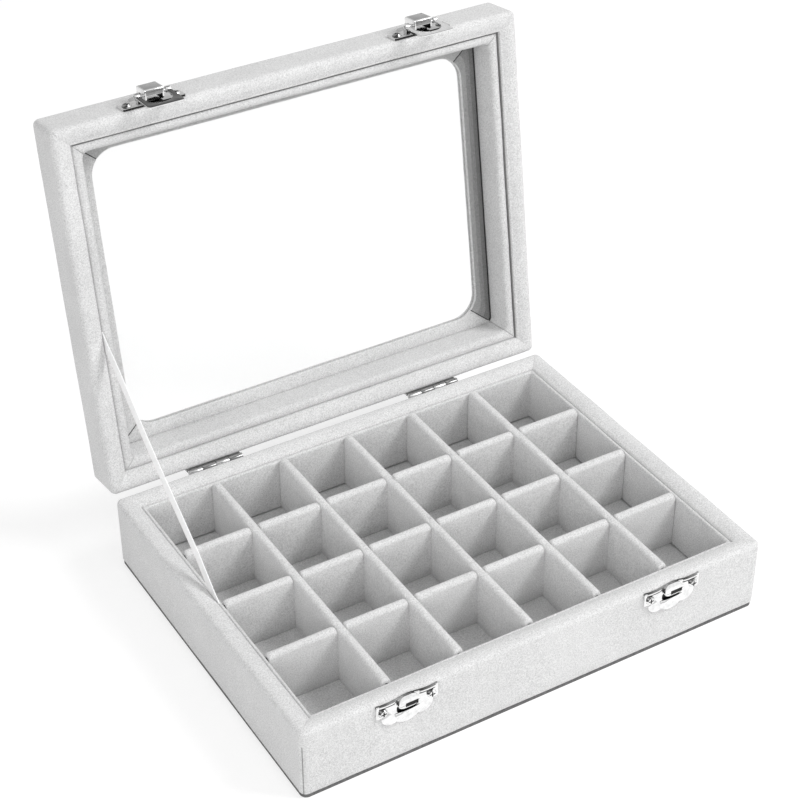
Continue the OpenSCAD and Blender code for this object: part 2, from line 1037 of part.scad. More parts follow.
// Covered divider blank along X with a rounded top and rounded upper end corners
module divider_blank(l) {
    intersection() {
        translate([-l / 2, 0, 0])
            rotate([90, 0, 90])
                linear_extrude(l)
                    union() {
                        translate([-divider_t / 2, 0])
                            square([divider_t, divider_h - divider_round]);
                        translate([-divider_t / 2 + divider_round, 0])
                            square([divider_t - 2 * divider_round, divider_h]);
                        for (s = [-1, 1]) {
                            translate([s * (divider_t / 2 - divider_round), divider_h - divider_round])
                                circle(divider_round, $fn = fine_fn);
                        }
                    }
        translate([0, divider_t, 0])
            rotate([90, 0, 0])
                linear_extrude(2 * divider_t)
                    union() {
                        translate([-l / 2, 0])
                            square([l, divider_h - divider_end_r]);
                        translate([-l / 2 + divider_end_r, 0])
                            square([l - 2 * divider_end_r, divider_h]);
                        for (s = [-1, 1]) {
                            translate([s * (l / 2 - divider_end_r), divider_h - divider_end_r])
                                circle(divider_end_r, $fn = fine_fn);
                        }
                    }
    }
}

// Lengthwise divider, notched from the top
module divider_long(k) {
    color([0.80, 0.80, 0.81])
    translate([0, -cavity_d / 2 + k * cell_d, floor_z])
        difference() {
            divider_blank(divider_long_l);
            for (i = [1:cells_long - 1]) {
                translate([-cavity_w / 2 + i * cell_w - divider_t / 2, -divider_t, lap_z])
                    cube([divider_t, 2 * divider_t, divider_h]);
            }
        }
}

// Crosswise divider, notched from below
module divider_cross(k) {
    color([0.80, 0.80, 0.81])
    translate([-cavity_w / 2 + k * cell_w, 0, floor_z])
        rotate([0, 0, 90])
            difference() {
                divider_blank(divider_cross_l);
                for (i = [1:cells_cross - 1]) {
                    translate([-cavity_d / 2 + i * cell_d - divider_t / 2, -divider_t, lap_z - divider_h])
                        cube([divider_t, 2 * divider_t, divider_h]);
                }
            }
}

base_frame();
base_bottom_board();
floor_pad();
base_lining_front();
base_lining_back();
base_lining_left();
base_lining_right();
lid_frame();
lid_window_panel();
lid_glass();
lid_lining_front();
lid_lining_back();
lid_lining_left();
lid_lining_right();
hinge_base_leaf_left();
hinge_base_leaf_right();
hinge_lid_leaf_left();
hinge_lid_leaf_right();
hinge_pin_left();
hinge_pin_right();
base_hinge_screws();
lid_hinge_screws();
lid_stay_ribbon();
catch_plate_left();
catch_plate_right();
catch_screws();
latch_plate_left();
latch_plate_right();
latch_screws();
lever_pin_left();
lever_pin_right();
latch_lever_left();
latch_lever_right();
loop_pin_left();
loop_pin_right();
latch_loop_left();
latch_loop_right();
divider_long(1);  // divider_long_1
divider_long(2);  // divider_long_2
divider_long(3);  // divider_long_3
divider_cross(1);  // divider_cross_1
divider_cross(2);  // divider_cross_2
divider_cross(3);  // divider_cross_3
divider_cross(4);  // divider_cross_4
divider_cross(5);  // divider_cross_5
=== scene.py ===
"""Dresses the jewelry tray's CAD model: covered boards, ribbon, plated fittings and the stage."""

import math

import bmesh
import bpy
from mathutils import Matrix, Vector, noise


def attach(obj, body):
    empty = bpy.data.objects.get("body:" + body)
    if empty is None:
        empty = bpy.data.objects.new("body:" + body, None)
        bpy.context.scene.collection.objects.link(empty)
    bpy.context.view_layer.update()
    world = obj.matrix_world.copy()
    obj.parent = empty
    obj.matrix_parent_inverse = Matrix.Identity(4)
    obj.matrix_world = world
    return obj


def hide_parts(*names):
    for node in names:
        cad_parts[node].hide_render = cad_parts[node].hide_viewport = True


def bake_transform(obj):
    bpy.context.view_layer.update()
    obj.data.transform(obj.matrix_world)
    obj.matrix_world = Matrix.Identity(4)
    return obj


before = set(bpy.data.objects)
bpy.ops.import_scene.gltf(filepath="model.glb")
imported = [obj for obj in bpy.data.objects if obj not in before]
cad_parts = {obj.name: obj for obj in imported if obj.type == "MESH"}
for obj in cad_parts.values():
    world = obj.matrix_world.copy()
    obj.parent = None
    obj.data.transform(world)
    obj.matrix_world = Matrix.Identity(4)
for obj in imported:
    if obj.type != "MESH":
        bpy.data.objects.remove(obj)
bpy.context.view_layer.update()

MM = 0.001

# Sizes in millimetres, as in the CAD source. The lower half:
W = 200.0
D = 152.0
BASE_H = 31.2
BOARD = 1.4
FLOOR_Z = 6.0
WALL = 7.7
CORNER = 2.6
LINING = 1.6
LINING_TOP = 29.1
# How far the padded rims fall towards the inside
FALL = 1.6

# The lid, in its closed place
SEAM = 0.4
LID_Z = BASE_H + SEAM
LID_H = 18.6
LID_LINING = 4.1
LID_DROP = 2.1
PANEL_H = 15.3
PANEL_T = 0.9
TOP_T = 1.2
WIN_X = 18.7
WIN_Y = 17.6
WIN_R = 10.0

# The lid's axis and the move from closed to open, which is the rest pose
LID_OPEN = 98.7
AXIS = Vector((0, D / 2 + 0.6, BASE_H - 1.1))
OPENED = (
    Matrix.Translation(AXIS)
    @ Matrix.Rotation(math.radians(-LID_OPEN), 4, "X")
    @ Matrix.Translation(-AXIS)
)
CLOSED = OPENED.inverted()

# The divider grid and the hollow that it stands in
DIV_T = 3.8
DIV_H = 24.5
CLEAR = 0.35
CAV_W = W - 2 * WALL - 2 * LINING
CAV_D = D - 2 * WALL - 2 * LINING

# The ribbon's ends, from the front of the tray and from the hinged side of the lid
RIBBON_BASE = 83.0
RIBBON_LID = 63.0


# Materials


def new_material(name):
    """A node material with its tree and its shader."""
    mat = bpy.data.materials.new(name)
    mat.use_nodes = True
    tree = mat.node_tree
    return mat, tree, tree.nodes["Principled BSDF"]


def add(tree, kind, **props):
    node = tree.nodes.new(kind)
    for key, value in props.items():
        setattr(node, key, value)
    return node


def set_inputs(node, values):
    for key, value in values.items():
        node.inputs[key].default_value = value


def noise_tex(tree, coord, scale, detail, rough):
    node = add(tree, "ShaderNodeTexNoise")
    set_inputs(node, {"Scale": scale, "Detail": detail, "Roughness": rough})
    tree.links.new(coord, node.inputs["Vector"])
    return node.outputs["Fac"]


def grey(level):
    return (level, level, level)


def ramp(tree, fac, stops):
    """Colour ramp through stops of (place, colour)."""
    node = add(tree, "ShaderNodeValToRGB")
    elements = node.color_ramp.elements
    while len(elements) < len(stops):
        elements.new(0.5)
    for element, (place, colour) in zip(elements, stops):
        element.position = place
        element.color = (*colour, 1)
    tree.links.new(fac, node.inputs["Fac"])
    return node.outputs["Color"]


def multiply(tree, a, b):
    node = add(tree, "ShaderNodeMix", data_type="RGBA", blend_type="MULTIPLY")
    node.inputs[0].default_value = 1.0
    tree.links.new(a, node.inputs[6])
    tree.links.new(b, node.inputs[7])
    return node.outputs[2]


def math_node(tree, operation, a, b):
    node = add(tree, "ShaderNodeMath", operation=operation)
    for socket, value in zip(node.inputs, (a, b)):
        if isinstance(value, (int, float)):
            socket.default_value = value
        else:
            tree.links.new(value, socket)
    return node.outputs[0]


def add_bump(tree, shader, height, strength, distance):
    node = add(tree, "ShaderNodeBump")
    set_inputs(node, {"Strength": strength, "Distance": distance})
    tree.links.new(height, node.inputs["Height"])
    tree.links.new(node.outputs["Normal"], shader.inputs["Normal"])


def object_coord(tree):
    return add(tree, "ShaderNodeTexCoord").outputs["Object"]


def stretched_coord(tree, scale, turn=0.0):
    """Object coordinates stretched along a grain, after a turn about X."""
    node = add(tree, "ShaderNodeMapping")
    set_inputs(node, {"Rotation": (math.radians(turn), 0, 0), "Scale": scale})
    tree.links.new(object_coord(tree), node.inputs["Vector"])
    return node.outputs["Vector"]


def velvet(name, level):
    """Matte velvet with soft clouds, patches, a nap and single fibres."""
    mat, tree, shader = new_material(name)
    coord = object_coord(tree)
    cloud = noise_tex(tree, coord, scale=38.0, detail=3.0, rough=0.55)
    patch = noise_tex(tree, coord, scale=260.0, detail=4.0, rough=0.6)
    nap = noise_tex(tree, coord, scale=1700.0, detail=3.0, rough=0.75)
    fuzz = noise_tex(tree, coord, scale=4200.0, detail=2.0, rough=0.8)
    colour = ramp(tree, cloud, [(0.3, grey(level * 0.96)), (0.7, grey(level * 1.03))])
    for fac, darkest, full_from in ((patch, 0.94, 0.68), (nap, 0.66, 0.62), (fuzz, 0.68, 0.66)):
        layer = ramp(tree, fac, [(0.3, grey(darkest)), (full_from, grey(1.0))])
        colour = multiply(tree, colour, layer)
    tree.links.new(colour, shader.inputs["Base Color"])
    set_inputs(shader, {
        "Roughness": 0.95,
        "Specular IOR Level": 0.12,
        "Sheen Weight": 0.35,
        "Sheen Roughness": 0.45,
    })
    nap_height = math_node(tree, "MULTIPLY", nap, 0.6)
    fuzz_height = math_node(tree, "MULTIPLY", fuzz, 0.4)
    height = math_node(tree, "ADD", nap_height, fuzz_height)
    add_bump(tree, shader, height, strength=0.55, distance=0.00035)
    return mat


def painted_reflection_tone(tree, normal, tone, toward, stops):
    """Painted reflection: grey by the side that a surface faces in its own axes, from -1 away to
    1 toward.
    """
    dot = add(tree, "ShaderNodeVectorMath", operation="DOT_PRODUCT")
    dot.inputs[1].default_value = Vector(toward).normalized()
    tree.links.new(normal, dot.inputs[0])
    wave = math_node(tree, "MULTIPLY", math_node(tree, "SUBTRACT", tone, 0.5), 0.06)
    half = math_node(tree, "MULTIPLY", dot.outputs["Value"], 0.5)
    place = math_node(tree, "ADD", math_node(tree, "ADD", half, 0.5), wave)
    return ramp(tree, place, [(facing / 2 + 0.5, grey(value)) for facing, value in stops])


def chrome(name, level, rough, toward=None, stops=None):
    """Plated metal with a faint cloud in its tone and gloss, and with stops, painted reflections
    by the side that each face looks to.
    """
    mat, tree, shader = new_material(name)
    texture = add(tree, "ShaderNodeTexCoord")
    coord = texture.outputs["Object"]
    tone = noise_tex(tree, coord, scale=420.0, detail=4.0, rough=0.6)
    colour = ramp(tree, tone, [(0.3, grey(level * 0.8)), (0.6, grey(level))])
    if stops:
        side = painted_reflection_tone(tree, texture.outputs["Normal"], tone, toward, stops)
        colour = multiply(tree, colour, side)
    tree.links.new(colour, shader.inputs["Base Color"])
    shader.inputs["Metallic"].default_value = 1.0
    smear = noise_tex(tree, coord, scale=900.0, detail=3.0, rough=0.6)
    gloss = ramp(tree, smear, [(0.2, grey(rough * 0.7)), (0.8, grey(rough * 1.4))])
    tree.links.new(gloss, shader.inputs["Roughness"])
    dents = noise_tex(tree, coord, scale=300.0, detail=2.0, rough=0.5)
    add_bump(tree, shader, dents, strength=0.18, distance=0.00025)
    return mat


def card(name, low, high, stretch):
    """Rough board with a grain."""
    mat, tree, shader = new_material(name)
    coord = stretched_coord(tree, stretch)
    grain = noise_tex(tree, coord, scale=1.0, detail=5.0, rough=0.65)
    colour = ramp(tree, grain, [(0.3, grey(low)), (0.7, grey(high))])
    tree.links.new(colour, shader.inputs["Base Color"])
    set_inputs(shader, {"Roughness": 0.9, "Specular IOR Level": 0.2})
    add_bump(tree, shader, grain, strength=0.5, distance=0.0002)
    return mat


def satin(name):
    """White satin with fine threads along the ribbon."""
    mat, tree, shader = new_material(name)
    coord = stretched_coord(tree, (1, 900, 5200), turn=-38)
    threads = noise_tex(tree, coord, scale=1.0, detail=2.0, rough=0.6)
    colour = ramp(tree, threads, [(0.25, grey(0.95)), (0.65, grey(0.99))])
    tree.links.new(colour, shader.inputs["Base Color"])
    set_inputs(shader, {
        "Roughness": 0.3,
        "Specular IOR Level": 1.0,
        "Sheen Weight": 1.0,
        "Sheen Roughness": 0.35,
        "Subsurface Weight": 0.75,
        "Subsurface Radius": (1.0, 1.0, 1.0),
        "Subsurface Scale": 0.0015,
    })
    add_bump(tree, shader, threads, strength=0.35, distance=0.00012)
    return mat


def glass(name):
    """Clear pane with a faint tint."""
    mat, tree, shader = new_material(name)
    tint = noise_tex(tree, object_coord(tree), scale=30.0, detail=2.0, rough=0.5)
    colour = ramp(tree, tint, [(0.3, (0.94, 0.97, 0.96)), (0.7, (0.97, 0.99, 0.985))])
    tree.links.new(colour, shader.inputs["Base Color"])
    set_inputs(shader, {"Roughness": 0.03, "Alpha": 0.07, "Specular IOR Level": 0.6})
    mat.surface_render_method = "BLENDED"
    return mat


# Velvets: the plain covers, and darker copies that are painted shade in grooves, creases, mitres,
# folds and shaded strips
M_FRAME = velvet("velvet_frame", 0.95)
M_LINING = velvet("velvet_lining", 0.92)
M_LIDLIN = velvet("velvet_lid_lining", 0.90)
M_DIV = velvet("velvet_divider", 0.95)
M_CREASE_SHADE = velvet("velvet_seam", 0.09)
M_FOLD_SHADE = velvet("velvet_fold", 0.40)
M_DEEP_SHADE = [velvet(f"velvet_deep_shade_{i}", v) for i, v in enumerate((0.30, 0.40, 0.52, 0.68))]
M_SHADED = M_DEEP_SHADE[3]

# Painted reflections on polished metal as (facing, grey), and the side that they are counted from
UP = (0, 0, 1)
UP_OPENED = OPENED.to_3x3() @ Vector(UP)
CATCH_LIT = (-0.5, 0, 0.85)
CATCH_REFLECTIONS = [
    (-0.75, 0.12), (-0.45, 0.2), (-0.25, 1.0), (0.045, 1.0), (0.085, 0.5), (0.15, 1.0),
    (0.5, 1.0), (0.62, 0.07), (0.78, 0.05), (0.9, 0.3), (1.0, 0.5),
]
UP_REFLECTIONS = [
    (-0.9, 0.2), (-0.5, 0.6), (0.0, 1.0), (0.2, 0.8), (0.32, 0.08), (0.48, 0.08),
    (0.62, 1.0), (0.85, 1.0), (0.94, 0.6), (1.0, 0.5),
]
HINGE_REFLECTIONS = [
    (-0.6, 0.3), (-0.1, 0.9), (0.2, 0.5), (0.45, 1.0), (0.7, 0.35), (0.85, 0.9), (1.0, 0.62),
]
M_CHROME = chrome("fitting_metal", 0.92, 0.13, CATCH_LIT, CATCH_REFLECTIONS)
M_LATCH = chrome("fitting_metal_lid", 0.86, 0.15, UP, UP_REFLECTIONS)
# Flat metals: a dim grey for painted reflections, and near black for painted shade and shadow
M_MID_REFLECTION = chrome("fitting_metal_dim_reflection", 0.27, 0.2)
M_METAL_SHADE = chrome("fitting_metal_shade", 0.03, 0.35)
# Painted reflections on the loops' flat faces: light grey on the right loop, near black on the
# left
M_LOOP = chrome("loop_metal", 0.64, 0.16)
M_LOOP_DARK_REFLECTION = chrome("loop_metal_dark_reflection", 0.05, 0.2)
M_HINGE = chrome("hinge_metal", 0.66, 0.22, UP, HINGE_REFLECTIONS)
M_HINGE_LID = chrome("hinge_metal_lid", 0.66, 0.22, UP_OPENED, HINGE_REFLECTIONS)
M_SCREW = chrome("screw_metal", 0.9, 0.16, CATCH_LIT, CATCH_REFLECTIONS)
M_PIN = chrome("pin_metal", 0.5, 0.25)

M_BOARD = card("dark_board", 0.10, 0.19, (1200, 1200, 300))
M_CORE = card("card_core", 0.10, 0.28, (2600, 2600, 160))
M_SATIN = satin("satin_ribbon")
M_GLASS = glass("clear_glass")


# Mesh tools

CLOTH_SHARP = math.radians(50)


def make_object(name, verts, faces, mats, matrix=None, face_mats=None):
    """Smooth object from points in millimetres, with a material index for each face."""
    mesh = bpy.data.meshes.new(name)
    pts = [Vector(v) for v in verts]
    if matrix is not None:
        pts = [matrix @ p for p in pts]
    mesh.from_pydata([p * MM for p in pts], [], faces)
    mesh.validate()
    piece = bpy.data.objects.new(name, mesh)
    bpy.context.scene.collection.objects.link(piece)
    for mat in mats:
        mesh.materials.append(mat)
    if face_mats:
        for face, index in zip(mesh.polygons, face_mats):
            face.material_index = index
    bm = bmesh.new()
    bm.from_mesh(mesh)
    bmesh.ops.recalc_face_normals(bm, faces=bm.faces)
    bm.to_mesh(mesh)
    bm.free()
    for face in mesh.polygons:
        face.use_smooth = True
    mesh.set_sharp_from_angle(angle=CLOTH_SHARP)
    return piece


def wobble(piece, amount, scale, seed, share_at=None):
    """Moves points a little along their normals, as padding and cloth do.

    share_at(point) gives the share of the move at a point, which is whole without it.
    """
    mesh = piece.data
    fine = scale * 0.35
    normals = [v.normal.copy() for v in mesh.vertices]
    for v, normal in zip(mesh.vertices, normals):
        p = v.co / MM
        share = share_at(p) if share_at else 1.0
        if share:
            wide = noise.noise(Vector((p.x / scale + seed, p.y / scale, p.z / scale)))
            small = noise.noise(Vector((p.x / fine, p.y / fine + seed, p.z / fine)))
            v.co += normal * (amount * share * (wide + 0.4 * small)) * MM
    mesh.update()


# Swept rings: points on each corner and side, and the width of the line on each mitre
CORNER_STEPS = 10
SIDE_STEPS = 56
PERIOD = CORNER_STEPS + SIDE_STEPS
MIDDLE = CORNER_STEPS // 2
MITRE = 0.2
SIDES = ("right", "back", "left", "front")
# Share of a crease's depth on the mitre's middle point and on the points next to it
CREASE_SHARES = {0: 1.0, 1: 0.35}
# Least corner radius of a row
LEAST_R = 0.3


def ring_path(hx, hy, r):
    """Rounded rectangle with the same number of points whatever its radius."""
    pts = []
    r = max(r, 0.02)
    slit = min(7.0, math.degrees(MITRE / r))
    turns = [0, 11, 22, 33, 45 - slit, 45, 45 + slit, 57, 68, 79, 90]
    corners = [
        (hx - r, -hy + r, -90),
        (hx - r, hy - r, 0),
        (-hx + r, hy - r, 90),
        (-hx + r, -hy + r, 180),
    ]
    for i, (cx, cy, first) in enumerate(corners):
        for turn in turns:
            a = math.radians(first + turn)
            pts.append((cx + r * math.cos(a), cy + r * math.sin(a)))
        px, py = pts[-1]
        nx, ny, next_first = corners[(i + 1) % 4]
        a = math.radians(next_first)
        qx = nx + r * math.cos(a)
        qy = ny + r * math.sin(a)
        for k in range(1, SIDE_STEPS):
            t = k / SIDE_STEPS
            pts.append((px + (qx - px) * t, py + (qy - py) * t))
    return pts


def press_creases(piece, profile, n, depth):
    """Presses the mitre lines of a ring in along the normals."""
    mesh = piece.data
    normals = [v.normal.copy() for v in mesh.vertices]
    for i, row in enumerate(profile):
        for k in range(n):
            share = CREASE_SHARES.get(abs(k % PERIOD - MIDDLE), 0.0)
            if row[4] and share:
                mesh.vertices[i * n + k].co -= normals[i * n + k] * depth * row[4] * share * MM
    mesh.update()


def ring(name, profile, mats, crease, shade=None, matrix=None):
    """Closed ring swept from rows of (inset x, inset y, corner radius, z, crease share).

    crease is the depth of its mitres in millimetres. shade(row, side, strip) gives a face's
    material index, where strip is true on a mitre line.
    """
    rows = []
    for inset_x, inset_y, r, z, _ in profile:
        path = ring_path(W / 2 - inset_x, D / 2 - inset_y, r)
        rows.append([(x, y, z) for x, y in path])
    n = len(rows[0])
    faces = []
    shades = []
    for i in range(len(rows)):
        j = (i + 1) % len(rows)
        for k in range(n):
            after = (k + 1) % n
            faces.append((i * n + k, i * n + after, j * n + after, j * n + k))
            before_mitre = k % PERIOD < MIDDLE
            side = SIDES[(k // PERIOD - (1 if before_mitre else 0)) % 4]
            strip = k % PERIOD in (MIDDLE - 1, MIDDLE)
            shades.append(shade(i, side, strip) if shade else 0)
    verts = [p for row in rows for p in row]
    piece = make_object(name, verts, faces, mats, matrix, shades)
    press_creases(piece, profile, n, crease)
    return piece


def corner_radius(inset):
    """Radius of a corner this far in from the outer face."""
    return max(CORNER - inset, LEAST_R)


# Lower half

# Radius of the padded rims outside, its steps in degrees, and the width rounded off inside
RIM_R = 2.1
RIM_TURNS = (15, 30, 45, 60, 75)
INNER_EDGE = 1.0
# Share of the fall that a rim has where the inner rounding starts
RIM_FALL = FALL * 0.75
RIM_PUFF = 0.18
# The foot of the tray's wall and its inner edge, as (inset, height) steps
FOOT_STEPS = ((0.5, 0.0), (0.12, 0.4))
FOOT_H = 0.9
INNER_STEPS = ((0.42, 0.28), (0.08, 0.85), (0.0, 1.6))
# Insets between which a mitre is pressed in
CREASE_FROM = 1.2
CREASE_TO = 7.2


def base_profile():
    """Section of the tray's wall, up its outer face, over the padded rim and down inside."""
    low = BOARD
    h = BASE_H - BOARD
    pts = [(inset, low + rise) for inset, rise in FOOT_STEPS]
    pts += [(0.0, low + FOOT_H + (h - RIM_R - FOOT_H) * i / 6) for i in range(7)]
    for turn in RIM_TURNS:
        inset = RIM_R + RIM_R * math.cos(math.radians(180 - turn))
        pts.append((inset, low + h - RIM_R + RIM_R * math.sin(math.radians(turn))))
    for i in range(9):
        t = i / 8
        inset = RIM_R + (WALL - INNER_EDGE - RIM_R) * t
        pts.append((inset, low + h + RIM_PUFF * math.sin(math.pi * t) - RIM_FALL * t * t))
    edge = pts[-1][1]
    pts += [(WALL - inset, edge - drop) for inset, drop in INNER_STEPS]
    edge = pts[-1][1]
    pts += [(WALL, low + (edge - low) * (1 - i / 4)) for i in range(1, 5)]
    rows = []
    for inset, z in pts:
        share = 1.0 if CREASE_FROM <= inset <= CREASE_TO else 0.0
        rows.append((inset, inset, corner_radius(inset), z, share))
    return rows


def base_shade(row, side, strip):
    """The sewn line down each outer corner is darker: a dark joint, with painted shade in its
    pressed crease.
    """
    return 1 if strip and 0 < row < 7 else 0


base = ring("base_frame_velvet", base_profile(), [M_FRAME, M_FOLD_SHADE], 0.28, base_shade)
wobble(base, amount=0.16, scale=26.0, seed=3.1)
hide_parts("base_frame")
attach(base, "base")


def lining_profile():
    """Section of the thin covered strips inside the walls."""
    outer = WALL + 0.05
    thick = LINING - 0.05
    roll = 0.95
    puff = 0.1
    inner_corner = 1.2
    pts = [(outer, FLOOR_Z), (outer, LINING_TOP - roll * 0.6)]
    for i in range(7):
        a = math.radians(180 - 180 * i / 6)
        inset = outer + thick / 2 + thick / 2 * math.cos(a)
        pts.append((inset, LINING_TOP - roll + roll * math.sin(a)))
    for i in range(1, 6):
        t = i / 5
        inset = outer + thick + puff * math.sin(math.pi * t)
        pts.append((inset, LINING_TOP - roll + (FLOOR_Z - LINING_TOP + roll) * t))
    return [(u, u, max(LEAST_R, inner_corner * (u - outer) / thick), z, 1.0) for u, z in pts]


lin = ring("base_lining_velvet", lining_profile(), [M_LINING], 0.22)
wobble(lin, amount=0.1, scale=18.0, seed=8.7)
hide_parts("base_lining_front", "base_lining_back", "base_lining_left", "base_lining_right")
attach(lin, "base")

PAD_NX = 60
PAD_NY = 46
PAD_EDGE = 1.2


def pad(name, hx, hy, z0, z1, mat):
    """Covered card lying flat, with its edges rolled down."""
    verts = []
    faces = []
    for j in range(PAD_NY + 1):
        for i in range(PAD_NX + 1):
            x = -hx + 2 * hx * i / PAD_NX
            y = -hy + 2 * hy * j / PAD_NY
            e = min(hx - abs(x), hy - abs(y))
            drop = 0.0
            if e <= PAD_EDGE:
                drop = PAD_EDGE * (1 - math.sqrt(max(0.0, 1 - (1 - e / PAD_EDGE) ** 2)))
            verts.append((x, y, z1 - min(drop, z1 - z0 - 0.3)))
    row = PAD_NX + 1
    for j in range(PAD_NY):
        for i in range(PAD_NX):
            a = j * row + i
            faces.append((a, a + 1, a + row + 1, a + row))
    rim = list(range(row))
    rim += [j * row + PAD_NX for j in range(1, PAD_NY + 1)]
    rim += [PAD_NY * row + i for i in range(PAD_NX - 1, -1, -1)]
    rim += [j * row for j in range(PAD_NY - 1, 0, -1)]
    low = len(verts)
    verts += [(verts[r][0], verts[r][1], z0) for r in rim]
    n = len(rim)
    for k in range(n):
        after = (k + 1) % n
        faces.append((rim[k], low + k, low + after, rim[after]))
    faces.append(tuple(range(low + n - 1, low - 1, -1)))
    return make_object(name, verts, faces, [mat])


def on_pad_top(p):
    """1 on the pad's top, 0 below it."""
    return 1.0 if p.z > FLOOR_Z - 0.3 else 0.0


pad_x = W / 2 - WALL - 0.05
pad_y = D / 2 - WALL - 0.05
floor_pad = pad("floor_pad_velvet", pad_x, pad_y, BOARD, FLOOR_Z, M_LINING)
wobble(floor_pad, amount=0.12, scale=30.0, seed=1.3, share_at=on_pad_top)
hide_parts("floor_pad")
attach(floor_pad, "base")


# Lid

# Radius of the top's outer edge, and of its roll into the window
TOP_R = 2.0
WINDOW_ROLL = 1.0
# Material index by side for the painted shade in grooves, which is darkest on the right
GROOVE_SHADE = {"right": 1, "front": 2}


def lid_profile():
    """Section of the lid's wall, from its inside round the rim and over the top to the window."""
    rows = []
    for i in range(5):
        z = LID_Z + PANEL_H - (PANEL_H - 2.8) * i / 4
        rows.append((WALL, WALL, LEAST_R, z, 0.0))
    rows.append((WALL - 0.1, WALL - 0.1, LEAST_R, LID_Z + 1.9, 1.0))
    rows.append((WALL - 0.5, WALL - 0.5, LEAST_R, LID_Z + 1.25, 1.0))
    for i in range(9):
        t = i / 8
        u = WALL - INNER_EDGE + (RIM_R - WALL + INNER_EDGE) * t
        z = LID_Z - 0.1 * math.sin(math.pi * t) + RIM_FALL * (1 - t) ** 2
        rows.append((u, u, corner_radius(u), z, 1.0))
    for turn in RIM_TURNS:
        u = RIM_R - RIM_R * math.sin(math.radians(turn))
        z = LID_Z + RIM_R - RIM_R * math.cos(math.radians(turn))
        rows.append((u, u, corner_radius(u), z, 1.0 if turn < 50 else 0.0))
    for i in range(6):
        rows.append((0, 0, CORNER, LID_Z + RIM_R + (LID_H - TOP_R - RIM_R) * i / 5, 0.0))
    for turn in RIM_TURNS:
        u = TOP_R - TOP_R * math.cos(math.radians(turn))
        z = LID_Z + LID_H - TOP_R + TOP_R * math.sin(math.radians(turn))
        rows.append((u, u, corner_radius(u), z, 0.0))
    for i in range(9):
        t = i / 8
        ux = TOP_R + (WIN_X - WINDOW_ROLL - TOP_R) * t
        uy = TOP_R + (WIN_Y - WINDOW_ROLL - TOP_R) * t
        r = 0.6 + (WIN_R + WINDOW_ROLL - 0.6) * t
        rows.append((ux, uy, r, LID_Z + LID_H + 0.15 * math.sin(math.pi * t), 0.0))
    for turn in (30, 60, 90):
        s = math.sin(math.radians(turn))
        z = LID_Z + LID_H - WINDOW_ROLL + math.cos(math.radians(turn))
        ux = WIN_X - WINDOW_ROLL + s
        uy = WIN_Y - WINDOW_ROLL + s
        rows.append((ux, uy, WIN_R + WINDOW_ROLL - s, z, 0.0))
    rows.append((WIN_X, WIN_Y, WIN_R, LID_Z + LID_H - TOP_T, 0.0))
    rows.append((WALL, WALL, LEAST_R, LID_Z + LID_H - TOP_T, 0.0))
    return rows


def lid_shade(row, side, strip):
    """Painted shade in the gap behind the lining, and on the mitres of the rim."""
    if row in (3, 4) and side in GROOVE_SHADE:
        return 1
    if strip and 8 <= row < 16:
        return 2
    return 0


lid_mats = [M_FRAME, M_FOLD_SHADE, M_SHADED]
lid = ring("lid_frame_velvet", lid_profile(), lid_mats, 0.28, lid_shade, OPENED)
wobble(lid, amount=0.16, scale=26.0, seed=12.4)
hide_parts("lid_frame")
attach(lid, "lid")


def lid_lining_profile():
    """Section of the padded strips inside the lid, rolled at the rim and at the panel."""
    z = LID_Z + LID_DROP
    outer = WALL + 0.05
    thick = LID_LINING - 0.05
    roll = 1.5
    top = LID_Z + PANEL_H
    pts = [(outer, z + 3.0), (outer, z + 1.4)]
    for i in range(9):
        a = math.radians(180 - 180 * i / 8)
        inset = outer + thick / 2 + thick / 2 * math.cos(a)
        pts.append((inset, z + roll - roll * math.sin(a)))
    for i in range(1, 7):
        s = i / 6
        inset = outer + thick + 0.15 * math.sin(math.pi * s)
        pts.append((inset, z + roll + (top - 0.7 - z - roll) * s))
    pts.append((outer + thick - 0.08, top - 0.4))
    pts.append((outer + thick - 0.3, top - 0.1))
    pts.append((outer, top))
    return [(u, u, max(LEAST_R, 3.0 * (u - outer) / thick), h, 1.0) for u, h in pts]


def lining_shade(row, side, strip):
    """Painted shade in the gaps beside the frame and the panel, and on the mitres."""
    if row in (0, 1, 2, 16, 17, 18):
        return GROOVE_SHADE.get(side, 0)
    if row == 3 and side == "front":
        return 2
    return 3 if strip and 4 <= row < 16 else 0


lining_mats = [M_LIDLIN, M_CREASE_SHADE, M_FOLD_SHADE, M_SHADED]
lidlin = ring("lid_lining_velvet", lid_lining_profile(), lining_mats, 0.4, lining_shade, OPENED)
wobble(lidlin, amount=0.16, scale=20.0, seed=5.5)
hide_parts("lid_lining_front", "lid_lining_back", "lid_lining_left", "lid_lining_right")
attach(lidlin, "lid")


